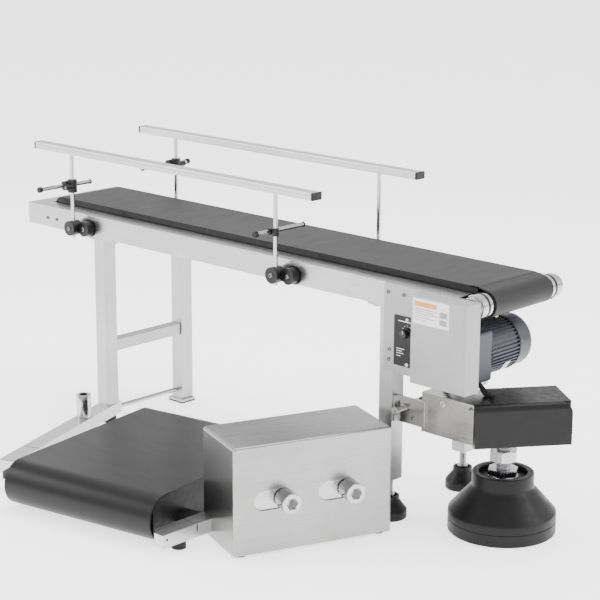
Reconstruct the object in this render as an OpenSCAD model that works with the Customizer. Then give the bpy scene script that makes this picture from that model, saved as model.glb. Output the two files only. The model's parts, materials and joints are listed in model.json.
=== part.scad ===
// Light belt conveyor section with adjustable side rails, an end drive under a
// sheet cover, a base channel on a levelling foot, and a low cross-feed belt unit
// tied to the frame by floor bars and an adjuster box.
// X runs along the conveyor from tail to drive, Y across it, Z up.

/* [Conveyor] */
// Length of the side frames
frame_len = 1500; // [1200:10:2000]
// Overall width across the side frames
frame_w = 300; // [280:10:400]
// Height of the side frames' top above the floor
frame_top = 545; // [520:5:700]
// Height of a side frame
frame_h = 54; // [50:1:60]
// Sheet thickness of the side frames
frame_t = 2.5; // [2:0.5:3]
// Width of a side frame's top flange
flange_w = 47; // [40:1:48]
// Width of the belt
belt_w = 200; // [180:5:205]
// Thickness of the belt
belt_t = 3; // [2:0.5:4]
// Height of the belt's carrying face above the side frames
belt_rise = 16; // [12:1:20]
// Radius of the drive drum
drum_r = 27; // [25:1:30]
// How far the drum's top lies below the bed's
drum_drop = 4; // [2:0.5:6]
// Radius of the tail roller
tail_r = 25; // [20:1:25]
// Distance from the frame's tail end to the belt
belt_start = 48; // [40:1:60]

/* [Legs] */
// Side of the square leg tubes
leg_w = 38; // [30:1:40]
// Wall of the leg tubes
leg_t = 2; // [1.5:0.5:3]
// Distance from the tail end to the left legs
left_leg_x = 262; // [220:1:320]
// Distance from the tail end to the right legs
right_leg_x = 1225; // [1210:1:1228]
// Side of the square crossbars
bar_w = 30; // [20:1:34]
// Height of the left crossbar's top
crossbar_z = 220; // [180:5:320]
// Radius of the small levelling feet
small_foot_r = 40; // [30:1:40]

/* [Side rails] */
// Length of a rail bar
rail_len = 975; // [800:5:1100]
// Distance from the tail end to the rail bars
rail_x = 85; // [60:1:120]
// Width of a rail bar
rail_bar_w = 30; // [20:1:32]
// Height of a rail bar
rail_bar_h = 17; // [14:1:20]
// Height of the rail bars' top above the side frames
rail_rise = 174; // [160:1:200]
// Radius of the rail posts
post_r = 5; // [4:0.5:6]
// Distance from the frame's side to the posts
post_out = 27; // [24:1:30]
// Distance from the tail end to the first post
post_x1 = 215; // [180:1:240]
// Distance from the tail end to the second post
post_x2 = 932; // [860:1:940]

/* [Drive] */
// Distance from the tail end to the motor's axis
motor_x = 1400; // [1396:1:1404]
// Height of the motor's axis
motor_z = 402; // [398:1:404]
// Radius of the motor's ribbed body
motor_r = 60; // [56:1:60]
// Side of the square gearbox
gearbox_w = 114; // [108:1:116]
// Depth of the drive cover
cover_d = 42; // [40:1:50]
// Length of the drive cover
cover_len = 150; // [150:1:152]
// Height of the drive cover
cover_h = 194; // [190:1:195]

/* [Base channel] */
// Height of the channel's underside
channel_z = 222; // [220:1:226]
// Height of the channel
channel_h = 90; // [80:1:92]
// Radius of the large foot's rim
big_foot_r = 119; // [90:1:125]
// Radius of the large foot's stud
big_stud_r = 16; // [12:1:17]
// Width of the large nuts across their flats
big_nut_af = 56; // [46:1:60]

/* [Low belt unit] */
// Width of the low belt
low_w = 415; // [380:5:420]
// Length of the low belt unit
low_len = 550; // [480:5:560]
// Turn of the low belt unit about the vertical
low_turn = 10; // [8:0.5:11]
// Outer radius of the low belt's ends
low_r = 52; // [46:1:52]
// Width of a floor bar
floor_bar_w = 44; // [36:1:46]
// Height of a floor bar
floor_bar_h = 30; // [24:1:32]

/* [Adjuster box] */
// Length of the slotted face
box_w = 372; // [340:1:373]
// Depth of the box
box_d = 170; // [150:1:172]
// Height of the box above the floor
box_h = 246; // [220:1:250]
// Turn of the box about the vertical
box_turn = -21.5; // [-22:0.5:-20]
// Radius of the clamp bolts' heads
bolt_head_r = 22.5; // [18:0.5:23]

/* [Hidden] */
$fn = 64;

fit = 0.05;              // radial clearance of a running or sliding fit
gap = 0.5;               // clearance between parts that move past each other
belt_gap = 0.3;          // clearance between a belt and its rollers
frame_z = frame_top - frame_h;
belt_top = frame_top + belt_rise;
drum_out = drum_r + belt_t;
tail_out = tail_r + belt_t;
drum_x = frame_len - 27;
drum_z = belt_top - drum_drop - drum_out;
nose_x = drum_x - 19;    // where the belt leaves the bed and bends down to the drum
tail_x = belt_start + tail_out;
tail_shaft_r = 6;
cheek_y = flange_w - 5;
cheek_t = 7;
tail_z = belt_top - tail_out;
belt_y = (frame_w - belt_w) / 2;
joint_pitch = 160;       // between the two holes that join the next section
shaft_r = 8;
leg_c = leg_w / 2;
bolt_in = 14;            // leg bolts, in from the side of the frame

// --- drive
plate_t = 3;
plate_x = right_leg_x + 13;
plate_z = frame_top - 199;
cover_x = frame_len - cover_len;
cover_z = frame_top - 1 - cover_h;
cover_t = 1.5;
panel_w = 76;
panel_h = 112;
panel_x = motor_x - 130;
panel_z = motor_z - 36;
knob_x = panel_x + panel_w / 2;
knob_z = panel_z + 77;
switch_x = knob_x + 18;
switch_z = panel_z + 28;
pulley_r = 11;
pulley_y = -30;
pulley_w = 12;
gearbox_len = 100;
ribs_len = 96;
fan_len = 52;
rotor_r = 6;

// --- rails
rail_top = frame_top + rail_rise;
rail_z = rail_top - rail_bar_h;
knuckle_r = 19;
knuckle_z = frame_z + 21;
knuckle_reach = 34;
rod_r = 5;
rod_off = 14;
rod_knob_r = 8;
rod_knob_len = 14;
post_foot = frame_z - 3;

// --- base channel and large foot
channel_x = 1333;
channel_end = frame_len - 22;
flange_y = 40;           // depth of the channel's flanges
mitre = 37;              // turn of the end beam from straight across
beam_len = 210;
beam_d = 110;            // depth of the end beam behind its cover
cap_t = 16;
cap_shell = 2;
channel_y = 18;
channel_t = 3;
foot_x = frame_len - 30;
foot_y = frame_w / 2 - 14;
foot_plate_t = 6;
stay_x = right_leg_x + leg_c + bar_w / 2;
stay_y = 140;
stay_len = 178;
lock_nut_z = 160;
big_nut_h = 25;
low_nut_z = 128;
low_nut_h = 14;
rod_z = channel_z + 40;
rod_x = right_leg_x + leg_w + 17;
tie_r = 7;

// --- low unit
low_x = 598;
low_y = -558;
low_z = 4;
low_t = 3;
low_c = low_z + low_r;
bar_z = 20;
bar_turn = 20.2;
left_bar_len = 520;
right_bar_x = 1020;
right_bar_y = -500;
slit_w = 3;

// --- adjuster box
box_x = 1178;
box_y = -403;
box_foot = 6;
box_t = 2.5;
box_r = 7;
slot_z = 122;
slot_half = 22;
slot_len = 47;
corner_plate = 44;
bolt_u = [116, 266];
block_back = 70;
block_front = 30;

// The origin is the floor point under the far left leg.
origin = [left_leg_x + leg_c, frame_w - leg_c, 0];

module placed() { translate(-origin) children(); }

// A prism whose outline lies in X and Z and whose length runs along +Y.
module along_y(y, len) {
    translate([0, y + len, 0]) rotate([90, 0, 0]) linear_extrude(len) children();
}

// A cylinder along +Y.
module rod_y(x, y, z, r, len) {
    translate([x, y + len, z]) rotate([90, 0, 0]) cylinder(r = r, h = len);
}

// A cylinder along +X.
module rod_x_axis(x, y, z, r, len) {
    translate([x, y, z]) rotate([0, 90, 0]) cylinder(r = r, h = len);
}

// A square tube standing on [x, y, z].
module square_tube(x, y, z, w, t, len) {
    translate([x, y, z]) difference() {
        cube([w, w, len]);
        translate([t, t, -1]) cube([w - 2 * t, w - 2 * t, len + 2]);
    }
}

// A flat outline with four rounded corners, made only of circles and squares.
module rounded_rect(w, h, r) {
    translate([r, 0]) square([w - 2 * r, h]);
    translate([0, r]) square([w, h - 2 * r]);
    for (x = [r, w - r], y = [r, h - r]) translate([x, y]) circle(r);
}

// The outline of an open belt's outside (or inside) round two pulleys.
// [x1, z1] and [x2, z2] are the centres and r1 <= r2 the radii.
// The straight runs sit a hair inside the circles, so that they cross them cleanly.
module belt_outline(x1, z1, r1, x2, z2, r2) {
    d = norm([x2 - x1, z2 - z1]);
    a = atan2(z2 - z1, x2 - x1);
    b = asin((r2 - r1) / d);
    up = a + 90 + b;
    dn = a - 90 - b;
    s1 = r1 - 0.01;
    s2 = r2 - 0.01;
    translate([x1, z1]) circle(r1);
    translate([x2, z2]) circle(r2);
    polygon([
        [x1 + s1 * cos(up), z1 + s1 * sin(up)], [x2 + s2 * cos(up), z2 + s2 * sin(up)],
        [x2, z2], [x2 + s2 * cos(dn), z2 + s2 * sin(dn)],
        [x1 + s1 * cos(dn), z1 + s1 * sin(dn)], [x1, z1]
    ]);
}

// A hexagon across its flats.
module hexagon(af) { circle(d = af / cos(30), $fn = 6); }

// ------------------------------------------------------------------ conveyor

// One side frame: a channel with a wide top flange, open towards +Y.
module side_channel(len) {
    cube([len, frame_t, frame_h]);
    translate([0, 0, frame_h - frame_t]) cube([len, flange_w, frame_t]);
    cube([len, 24, frame_t]);
}

module near_side_frame() placed() color("silver") difference() {
    translate([0, 0, frame_z]) side_channel(frame_len - 60);
    for (x = tail_bolt_xs()) rod_y(x, -1, tail_bolt_z(), 3.2, frame_t + 2);
}

module far_side_frame() placed() color("silver") difference() {
    translate([0, frame_w, frame_z]) mirror([0, 1, 0]) side_channel(frame_len - 60);
    for (x = tail_bolt_xs()) rod_y(x, frame_w - frame_t - 1, tail_bolt_z(), 3.2, frame_t + 2);
}

function tail_bolt_xs() = [78, 115];
function tail_bolt_z() = frame_z + 23;

// Closing plate between the side frames at the tail, with the tail roller's cheeks.
module tail_bracket() placed() color("silver") {
    inner = frame_w - 2 * frame_t;
    difference() {
        translate([0, frame_t, frame_z + frame_t + gap]) cube([4, inner, frame_h - 2 * frame_t - 2 * gap]);
        for (y = [-joint_pitch / 2, joint_pitch / 2])
            rod_x_axis(-1, frame_w / 2 + y, frame_z + 20, 4.5, 6);
    }
    translate([0, flange_w + gap, frame_top - frame_t - gap])
        cube([belt_start - 4, frame_w - 2 * flange_w - 2 * gap, frame_t + gap]);
    for (y = [cheek_y, frame_w - cheek_y - cheek_t]) difference() {
        translate([0, y, frame_z + frame_t + gap]) cube([125, cheek_t, frame_h - 2 * frame_t - 2 * gap]);
        rod_y(tail_x, y - 1, tail_z, tail_shaft_r + fit, cheek_t + 2);
    }
    for (s = [0, 1]) translate([60, s == 0 ? frame_t : frame_w - cheek_y, tail_bolt_z() - 9])
        cube([64, cheek_y - frame_t, 18]);
}

module cross_members() placed() color("silver") {
    for (x = [330, 700, 1180]) translate([x, frame_t, frame_top - frame_t - gap - 16]) difference() {
        cube([40, frame_w - 2 * frame_t, 16]);
        translate([2, -1, 2]) cube([36, frame_w, 12]);
    }
}

module slider_bed() placed() color("dimgray") difference() {
    x0 = tail_x;
    w = belt_w - 2;
    z0 = frame_top - frame_t - gap;
    translate([x0, belt_y + 1, z0]) cube([nose_x - 3 - x0, w, belt_top - belt_t - belt_gap - z0]);
    rod_y(tail_x, 0, tail_z, tail_r + 1, frame_w);
    rod_y(drum_x, 0, drum_z, drum_r + 1, frame_w);
}

// The conveyor belt's outline: flat over the bed to the nose, then down round the drum.
module bed_belt_outline(r1, r2, top) {
    nose = [nose_x, top];
    reach = nose - [drum_x, drum_z];
    up = atan2(reach[1], reach[0]) - acos((r2 - 0.01) / norm(reach));
    belt_outline(tail_x, tail_z, r1, drum_x, drum_z, r2);
    polygon([
        [tail_x, top - 0.01], nose,
        [drum_x + (r2 - 0.01) * cos(up), drum_z + (r2 - 0.01) * sin(up)],
        [drum_x, drum_z], [tail_x, tail_z]
    ]);
}

module conveyor_belt() placed() color([0.16, 0.16, 0.17]) difference() {
    along_y(belt_y, belt_w) bed_belt_outline(tail_out, drum_out, belt_top);
    along_y(belt_y - 1, belt_w + 2)
        bed_belt_outline(tail_r + belt_gap, drum_r + belt_gap, belt_top - belt_t + belt_gap);
}

module drive_drum() placed() color("gainsboro") {
    rod_y(drum_x, belt_y - 3, drum_z, drum_r, belt_w + 6);
    rod_y(drum_x, pulley_y - 4, drum_z, shaft_r, frame_w - 2 - pulley_y);
    rod_y(drum_x, pulley_y, drum_z, pulley_r, pulley_w);
    for (y = [pulley_y - 2, pulley_y + pulley_w]) rod_y(drum_x, y, drum_z, pulley_r + 1.2, 2);
}

module tail_roller() placed() color("gainsboro") {
    rod_y(tail_x, belt_y, tail_z, tail_r, belt_w);
    rod_y(tail_x, cheek_y, tail_z, tail_shaft_r, frame_w - 2 * cheek_y);
}

// Round bearing housings beside the drum, on arms bolted inside the side frames.
module drum_bearing_housings() placed() color("whitesmoke") {
    for (near = [true, false]) {
        y0 = near ? frame_t + 9 : belt_y + belt_w + 6;
        y1 = near ? belt_y - 6 : frame_w - frame_t - 9;
        ya = near ? frame_t : frame_w - frame_t - 9;
        difference() {
            union() {
                rod_y(drum_x, y0, drum_z, drum_r - 0.5, y1 - y0);
                rod_y(drum_x, ya, drum_z, 22, 9);
                translate([frame_len - 200, ya, frame_z + frame_t + gap])
                    cube([173, 9, frame_h - 2 * frame_t - 2 * gap]);
            }
            rod_y(drum_x, -1, drum_z, shaft_r + fit, frame_w + 2);
        }
    }
}

// --------------------------------------------------------------------- legs

// Leg tube with its welded top plate; z0 is the tube's lower end.
module leg(x, y, z0) {
    plate_y = y == 0 ? 0 : y + leg_w - 44;
    square_tube(x, y, z0, leg_w, leg_t, frame_z - 5 - z0);
    difference() {
        translate([x + leg_c - 56, plate_y, frame_z - 5]) cube([112, 44, 5]);
        for (s = [-1, 1]) translate([x + leg_c + s * 43, y == 0 ? bolt_in : frame_w - bolt_in, frame_z - 6]) cylinder(r = 4.2, h = 7);
    }
}

module near_left_leg() placed() color("silver") leg(left_leg_x, 0, bar_z + floor_bar_h);

module far_left_leg() placed() color("silver") {
    leg(left_leg_x, frame_w - leg_w, 10);
    translate([left_leg_x - 8, frame_w - leg_w - 8, 4]) cube([leg_w + 16, leg_w + 8, 6]);
}

// Right leg: an end plug in the tube guides the levelling foot's stud.
module right_leg(y) {
    z0 = 92;
    leg(right_leg_x, y, z0);
    translate([right_leg_x + leg_c, y + leg_c, z0]) difference() {
        translate([-leg_c + leg_t, -leg_c + leg_t, 0]) cube([leg_w - 2 * leg_t, leg_w - 2 * leg_t, 14]);
        translate([0, 0, -1]) cylinder(r = shaft_r + fit, h = 16);
    }
}

module near_right_leg() placed() color("silver") right_leg(0);
module far_right_leg() placed() color("silver") right_leg(frame_w - leg_w);

// Levelling foot for a leg: cup, cone, collar and stud.
module small_foot(y) {
    translate([right_leg_x + leg_c, y + leg_c, 0]) {
        rotate_extrude() polygon([
            [0, 0], [small_foot_r, 0], [small_foot_r, 20], [small_foot_r * 0.56, 42],
            [small_foot_r * 0.56, 52], [small_foot_r * 0.42, 52], [small_foot_r * 0.42, 46], [0, 46]
        ]);
        translate([0, 0, 45]) cylinder(r = shaft_r, h = 75);
        translate([0, 0, 46.5]) linear_extrude(8) hexagon(24);
    }
}

module near_right_foot() placed() color([0.1, 0.1, 0.11]) small_foot(0);
module far_right_foot() placed() color([0.1, 0.1, 0.11]) small_foot(frame_w - leg_w);

module leg_crossbars() placed() color("silver") {
    len = frame_w - 2 * leg_w;
    side = leg_c - bar_w / 2;
    for (p = [[left_leg_x + side, crossbar_z - bar_w], [right_leg_x + side, crossbar_z]])
        translate([p[0], leg_w, p[1]]) difference() {
            cube([bar_w, len, bar_w]);
            translate([2, -1, 2]) cube([bar_w - 4, len + 2, bar_w - 4]);
        }
}

// Chrome rods across the machine: one low down at the left legs, one with socket
// heads at the right legs, and the collar that the left motor strut clamps on.
module tie_rods() placed() color("gainsboro") {
    difference() {
        rod_y(left_leg_x + leg_c, leg_w, 34, 6, frame_w - 2 * leg_w);
        left_bar_block();
    }
    difference() {
        union() {
            rod_y(rod_x, -10, rod_z, tie_r, frame_w + 20);
            rod_y(rod_x, -10, rod_z, tie_r + 2, 8);
            rod_y(rod_x, frame_w + 2, rod_z, tie_r + 2, 8);
        }
        for (y = [-11, frame_w + 6]) along_y(y, 5) translate([rod_x, rod_z]) hexagon(8);
    }
}

// ----------------------------------------------------------------- fasteners

module hex_bolt_up(x, y, z) {
    translate([x, y, z - 5.3]) linear_extrude(5.3) hexagon(13);
    translate([x, y, z - 0.01]) cylinder(r = 4, h = 12);
}

module hex_fasteners() placed() color("gainsboro") {
    for (x = [left_leg_x, right_leg_x], y = [bolt_in, frame_w - bolt_in], s = [-1, 1])
        hex_bolt_up(x + leg_c + s * 43, y, frame_z - 5);
    translate([foot_x, foot_y, lock_nut_z]) difference() {
        linear_extrude(big_nut_h) hexagon(big_nut_af);
        translate([0, 0, -1]) cylinder(r = big_stud_r + fit, h = big_nut_h + 2);
    }
}

// A pan-head screw seated on a face at y, its head towards -Y.
module pan_screw(x, y, z, r = 4.5) {
    rod_y(x, y - 3, z, r, 3);
    rod_y(x, y - 0.01, z, r / 2, 5);
}

module pan_head_screws() placed() color("gainsboro") {
    for (x = tail_bolt_xs()) {
        pan_screw(x, 0, tail_bolt_z());
        translate([0, frame_w, 0]) mirror([0, 1, 0]) pan_screw(x, 0, tail_bolt_z());
    }
    py = -plate_t;
    for (p = [[12, 178], [56, 179], [17, 51], [16, 28]]) pan_screw(plate_x + p[0], py, plate_z + p[1]);
    for (z = [panel_z + 6, panel_z + panel_h - 6]) pan_screw(knob_x, py - 3, z, 4);
    for (x = [post_x1, post_x2], k = [0, knuckle_reach]) {
        y = k == 0 ? -post_out - 15 : -24;
        pan_screw(x + k, y, knuckle_z, 6);
        translate([0, frame_w, 0]) mirror([0, 1, 0]) pan_screw(x + k, y, knuckle_z, 6);
    }
    pan_screw(channel_x - 20, channel_y - 5, channel_z + 26);
    pan_screw(channel_end - 10, channel_y, channel_z + channel_h - 10);
}

// ----------------------------------------------------------------- side rails

// Twin-lobed clamp: the first lobe holds the post, the second is on the frame.
module knuckle(x) {
    difference() {
        union() {
            rod_y(x, -post_out - 15, knuckle_z, knuckle_r, 30);
            rod_y(x + knuckle_reach, -24, knuckle_z, knuckle_r, 22);
            translate([x, -24, knuckle_z - 12]) cube([knuckle_reach, 12, 24]);
            rod_y(x + knuckle_reach, -2, knuckle_z, knuckle_r + 3, 2);
        }
        translate([x, -post_out, knuckle_z - 30]) cylinder(r = post_r + fit, h = 60);
        rod_y(x, -post_out - 16, knuckle_z, 3, 9);
        rod_y(x + knuckle_reach, -25, knuckle_z, 3, 12);
    }
}

module knuckle_clamps() placed() color([0.1, 0.1, 0.1]) {
    for (x = [post_x1, post_x2]) {
        knuckle(x);
        translate([0, frame_w, 0]) mirror([0, 1, 0]) knuckle(x);
    }
}

module rail_bar() {
    difference() {
        translate([rail_x + 5, -post_out - rail_bar_w / 2, rail_z]) cube([rail_len - 10, rail_bar_w, rail_bar_h]);
        translate([rail_x, -post_out - rail_bar_w / 2 + 2, rail_z + 2])
            cube([rail_len, rail_bar_w - 4, rail_bar_h - 4]);
    }
}

module rail_caps() {
    for (x = [rail_x, rail_x + rail_len - 5])
        translate([x, -post_out - rail_bar_w / 2 - 0.5, rail_z - 0.5]) cube([5, rail_bar_w + 1, rail_bar_h + 1]);
}

module rail_posts() {
    for (x = [post_x1, post_x2]) translate([x, -post_out, post_foot]) cylinder(r = post_r, h = rail_z - post_foot);
}

// Cross clamp on a post at height z: one bore for the post and one for the rod.
module cross_clamp(x, z) {
    difference() {
        union() {
            translate([x, -post_out, z - 16]) cylinder(r = 12, h = 32);
            rod_y(x - rod_off, -post_out - 16, z, 12, 32);
            translate([x - rod_off, -post_out - 12, z - 12]) cube([rod_off, 24, 24]);
            rod_y(x + 4, -post_out - 26, z, 7, 20);
        }
        translate([x, -post_out, z - 20]) cylinder(r = post_r + 0.01, h = 40);
        rod_y(x - rod_off, -post_out - 20, z, rod_r + fit, 40);
    }
}

// Slim clamp: a collar on the post with a sleeve for the rod beside it.
module small_cross_clamp(x, z) {
    difference() {
        union() {
            translate([x, -post_out, z - 9]) cylinder(r = 8, h = 18);
            rod_y(x - rod_off, -post_out - 9, z, 8, 18);
            translate([x - rod_off, -post_out - 6, z - 6]) cube([rod_off, 12, 12]);
        }
        translate([x, -post_out, z - 20]) cylinder(r = post_r + 0.01, h = 40);
        rod_y(x - rod_off, -post_out - 20, z, rod_r + fit, 40);
    }
}

// Cross rod with its end knobs; y0 and y1 are the tips of the knobs.
module cross_rod(x, y0, y1, z) {
    rod_y(x - rod_off, y0 + 2, z, rod_r, y1 - y0 - 4);
    for (y = [y0, y1 - rod_knob_len]) rod_y(x - rod_off, y, z, rod_knob_r, rod_knob_len);
}

function left_rod_z() = frame_top + 75;
function right_rod_z() = frame_top + 66;

module near_rail_bar() placed() color("silver") rail_bar();
module near_rail_caps() placed() color([0.08, 0.08, 0.08]) rail_caps();
module near_rail_posts() placed() color("gainsboro") rail_posts();
module near_cross_clamps() placed() color([0.1, 0.1, 0.1]) {
    cross_clamp(post_x1, left_rod_z());
    small_cross_clamp(post_x2, right_rod_z());
}
module near_left_rod() placed() color("gainsboro") cross_rod(post_x1, -124, 44, left_rod_z());
module near_right_rod() placed() color("gainsboro") cross_rod(post_x2, -82, 80, right_rod_z());

module on_far_side() { translate([0, frame_w, 0]) mirror([0, 1, 0]) children(); }
module far_rail_bar() placed() color("silver") on_far_side() rail_bar();
module far_rail_caps() placed() color([0.08, 0.08, 0.08]) on_far_side() rail_caps();
module far_rail_posts() placed() color("gainsboro") on_far_side() rail_posts();
module far_cross_clamp() placed() color([0.1, 0.1, 0.1]) on_far_side() cross_clamp(post_x1, left_rod_z() + 10);
module far_left_rod() placed() color("gainsboro") on_far_side() cross_rod(post_x1, -86, 82, left_rod_z() + 10);

// ---------------------------------------------------------------------- drive

module control_plate() placed() color("lightgray") difference() {
    translate([plate_x, -plate_t, plate_z]) cube([frame_len - plate_x, plate_t, frame_top - 1 - plate_z]);
    rod_y(motor_x, -10, motor_z, shaft_r + 2, 20);
    rod_y(drum_x, -10, drum_z, shaft_r + 2, 20);
    rod_y(knob_x, -10, knob_z, 5, 20);
    translate([switch_x - 8, -10, switch_z - 12]) cube([16, 20, 24]);
}

module drive_cover() placed() color("lightgray") {
    y1 = -plate_t;
    translate([cover_x, y1 - cover_d, cover_z]) difference() {
        cube([cover_len, cover_d, cover_h]);
        translate([cover_t, cover_t, cover_t]) cube([cover_len - 2 * cover_t, cover_d, cover_h - 2 * cover_t]);
    }
}

module control_panel() placed() color([0.1, 0.1, 0.11]) {
    y1 = -plate_t;
    difference() {
        translate([panel_x, y1 - 3, panel_z]) cube([panel_w, 3, panel_h]);
        rod_y(knob_x, y1 - 4, knob_z, 4 + fit, 5);
        translate([switch_x - 7, y1 - 4, switch_z - 11]) cube([14, 5, 22]);
    }
}

module speed_knob() placed() color([0.06, 0.06, 0.06]) {
    y1 = -plate_t - 3;
    rod_y(knob_x, y1 - gap - 14, knob_z, 11, 14);
    rod_y(knob_x, y1 - gap - 15.5, knob_z, 9.5, 2);
    rod_y(knob_x, y1 - gap - 1, knob_z, 4, 8);
    translate([knob_x - 1, y1 - gap - 16.3, knob_z + 2]) cube([2, 1.5, 7]);
}

module power_switch() placed() color([0.06, 0.06, 0.06]) {
    y1 = -plate_t - 3;
    translate([switch_x, y1 + 2, switch_z]) rotate([0, 90, 0]) translate([0, 0, -6.2])
        intersection() {
            cylinder(r = 10.4, h = 12.4);
            translate([-10.4, -7, 0]) cube([20.8, 9, 12.4]);
        }
}

module controller_body() placed() color([0.13, 0.13, 0.14]) difference() {
    translate([panel_x + 6, 0, panel_z + 6]) cube([panel_w - 15, 58, panel_h - 12]);
    rod_y(knob_x, -1, knob_z, 6, 12);
    translate([switch_x - 8, -1, switch_z - 12]) cube([16, 14, 24]);
}

module gearbox() placed() color([0.2, 0.22, 0.28]) difference() {
    along_y(0, gearbox_len) translate([motor_x - gearbox_w / 2, motor_z - gearbox_w / 2])
        rounded_rect(gearbox_w, gearbox_w, 8);
    rod_y(motor_x, -1, motor_z, shaft_r + fit, gearbox_len - 18);
}

// Ribbed motor body: a drum with lengthwise cooling ribs.
module motor_body() placed() color([0.2, 0.22, 0.28]) {
    ribs = 44;
    difference() {
        union() {
            rod_y(motor_x, gearbox_len, motor_z, motor_r - 4, ribs_len);
            for (i = [0 : ribs - 1]) translate([motor_x, gearbox_len, motor_z])
                rotate([0, i * 360 / ribs, 0]) translate([-1.4, 0, motor_r - 6]) cube([2.8, ribs_len, 6]);
        }
        rod_y(motor_x, gearbox_len + 30, motor_z, rotor_r + fit, ribs_len);
    }
}

module fan_cover() placed() color([0.2, 0.22, 0.28]) {
    y0 = gearbox_len + ribs_len;
    translate([motor_x, y0, motor_z]) rotate([-90, 0, 0]) difference() {
        rotate_extrude() difference() {
            union() {
                square([motor_r - 1, fan_len - 14]);
                square([motor_r - 15, fan_len]);
                translate([motor_r - 15, fan_len - 14]) circle(14);
            }
            translate([-1, -1]) square([motor_r - 3, fan_len - 13]);
            translate([-1, -1]) square([motor_r - 14, fan_len - 2]);
            translate([motor_r - 15, fan_len - 14]) circle(11);
        }
        for (r = [14, 26, 38], a = [0 : 30 : 330]) rotate(a + r) translate([r, 0, fan_len - 4]) cylinder(r = 3.2, h = 6);
    }
}

module cable_gland() placed() color("goldenrod") translate([motor_x, gearbox_len + ribs_len - 16, motor_z + motor_r - 2]) {
    linear_extrude(6) hexagon(14);
    cylinder(r = 5, h = 10);
}

module cooling_fan() placed() color([0.15, 0.15, 0.16]) {
    y0 = gearbox_len + ribs_len;
    rod_y(motor_x, gearbox_len + 32, motor_z, rotor_r, ribs_len + 8);
    rod_y(motor_x, y0 + 6, motor_z, 16, 22);
    for (a = [0 : 45 : 315]) translate([motor_x, y0 + 8, motor_z]) rotate([0, a, 0])
        translate([-1.5, 0, 14]) cube([3, 18, 30]);
}

module gear_output_shaft() placed() color("gainsboro") {
    rod_y(motor_x, pulley_y - 4, motor_z, shaft_r, 70 - pulley_y);
    rod_y(motor_x, pulley_y, motor_z, pulley_r, pulley_w);
    for (y = [pulley_y - 2, pulley_y + pulley_w]) rod_y(motor_x, y, motor_z, pulley_r + 1.2, 2);
}

// Toothed drive belt between the two pulleys, inside the cover.
module drive_belt() placed() color([0.08, 0.08, 0.08]) difference() {
    along_y(pulley_y + 0.6, pulley_w - 1.2)
        belt_outline(motor_x, motor_z, pulley_r + 1.7, drum_x, drum_z, pulley_r + 1.7);
    along_y(pulley_y, pulley_w)
        belt_outline(motor_x, motor_z, pulley_r + belt_gap, drum_x, drum_z, pulley_r + belt_gap);
}

// A flat strap from a to b, drawn as an outline of the given thickness.
module strap(a, b, t) {
    n = [a[1] - b[1], b[0] - a[0]] / norm(b - a) * t / 2;
    polygon([a + n, b + n, b - n, a - n]);
}

// Flat black struts that carry the gearbox: one on the tie rod, one on the channel.
module motor_struts() placed() color([0.1, 0.1, 0.1]) {
    strut_w = 14;
    strut_y = gearbox_len - strut_w - 2;
    foot_z = motor_z - gearbox_w / 2;
    top = channel_z + channel_h + cap_shell;
    left_x = motor_x - 46;
    right_x = motor_x + 20;
    reach = 32;
    difference() {
        along_y(strut_y, strut_w) {
            translate([rod_x, rod_z]) circle(tie_r + 5);
            strap([rod_x, rod_z], [left_x, foot_z - 3], 5);
            translate([left_x - 8, foot_z - 5]) square([30, 5]);
        }
        rod_y(rod_x, strut_y - 1, rod_z, tie_r + 0.01, strut_w + 2);
    }
    along_y(strut_y, strut_w) {
        translate([right_x - 12, foot_z - 5]) square([26, 5]);
        strap([right_x, foot_z - 3], [right_x + reach, top + 3], 5);
        translate([right_x + reach - 6, top]) square([24, 5]);
    }
}

// --------------------------------------------------------------- base channel

// Beam axes: +X out of the end cover, +Y along the beam, Z up; the corner meets the channel.
module in_beam() {
    translate([channel_end, channel_y, channel_z]) rotate(-mitre) children();
}

// C-channel beside the leg, running into a box beam over the large foot; a low stay
// ties the beam's back to the leg crossbar.
module arm_channel() placed() color("silver") difference() {
    union() {
        difference() {
            translate([channel_x, channel_y, channel_z]) cube([channel_end - channel_x, flange_y, channel_h]);
            translate([channel_x - 1, channel_y + channel_t, channel_z + channel_t])
                cube([channel_end - channel_x + 2, flange_y, channel_h - 2 * channel_t]);
            in_beam() translate([0, -100, -1]) cube([200, 400, channel_h + 2]);
        }
        difference() {
            in_beam() translate([-beam_d, 0, 0]) cube([beam_d, beam_len, channel_h]);
            in_beam() translate([-beam_d + channel_t, channel_t, foot_plate_t])
                cube([beam_d - channel_t + 1, beam_len - 2 * channel_t, channel_h - channel_t - foot_plate_t]);
            translate([channel_x - 100, channel_y - 200, channel_z - 1]) cube([400, 200, channel_h + 2]);
        }
        translate([foot_x, foot_y, channel_z]) cylinder(r = 26, h = 16);
        translate([stay_x, stay_y, channel_z]) cube([stay_len, 30, 26]);
    }
    translate([foot_x, foot_y, channel_z - 1]) cylinder(r = big_stud_r + fit, h = 20);
}

// Angle bracket between the near right leg and the channel.
module arm_brackets() placed() color("silver") {
    leg_face = right_leg_x + leg_w;
    z0 = channel_z + 10;
    difference() {
        union() {
            translate([leg_face, channel_y - 5, z0]) cube([channel_x + 12 - leg_face, 5, 60]);
            translate([leg_face, 3, z0]) cube([5, channel_y - 5, 60]);
        }
        rod_y(rod_x, -1, rod_z, tie_r + 0.01, frame_w + 2);
    }
}

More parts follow.
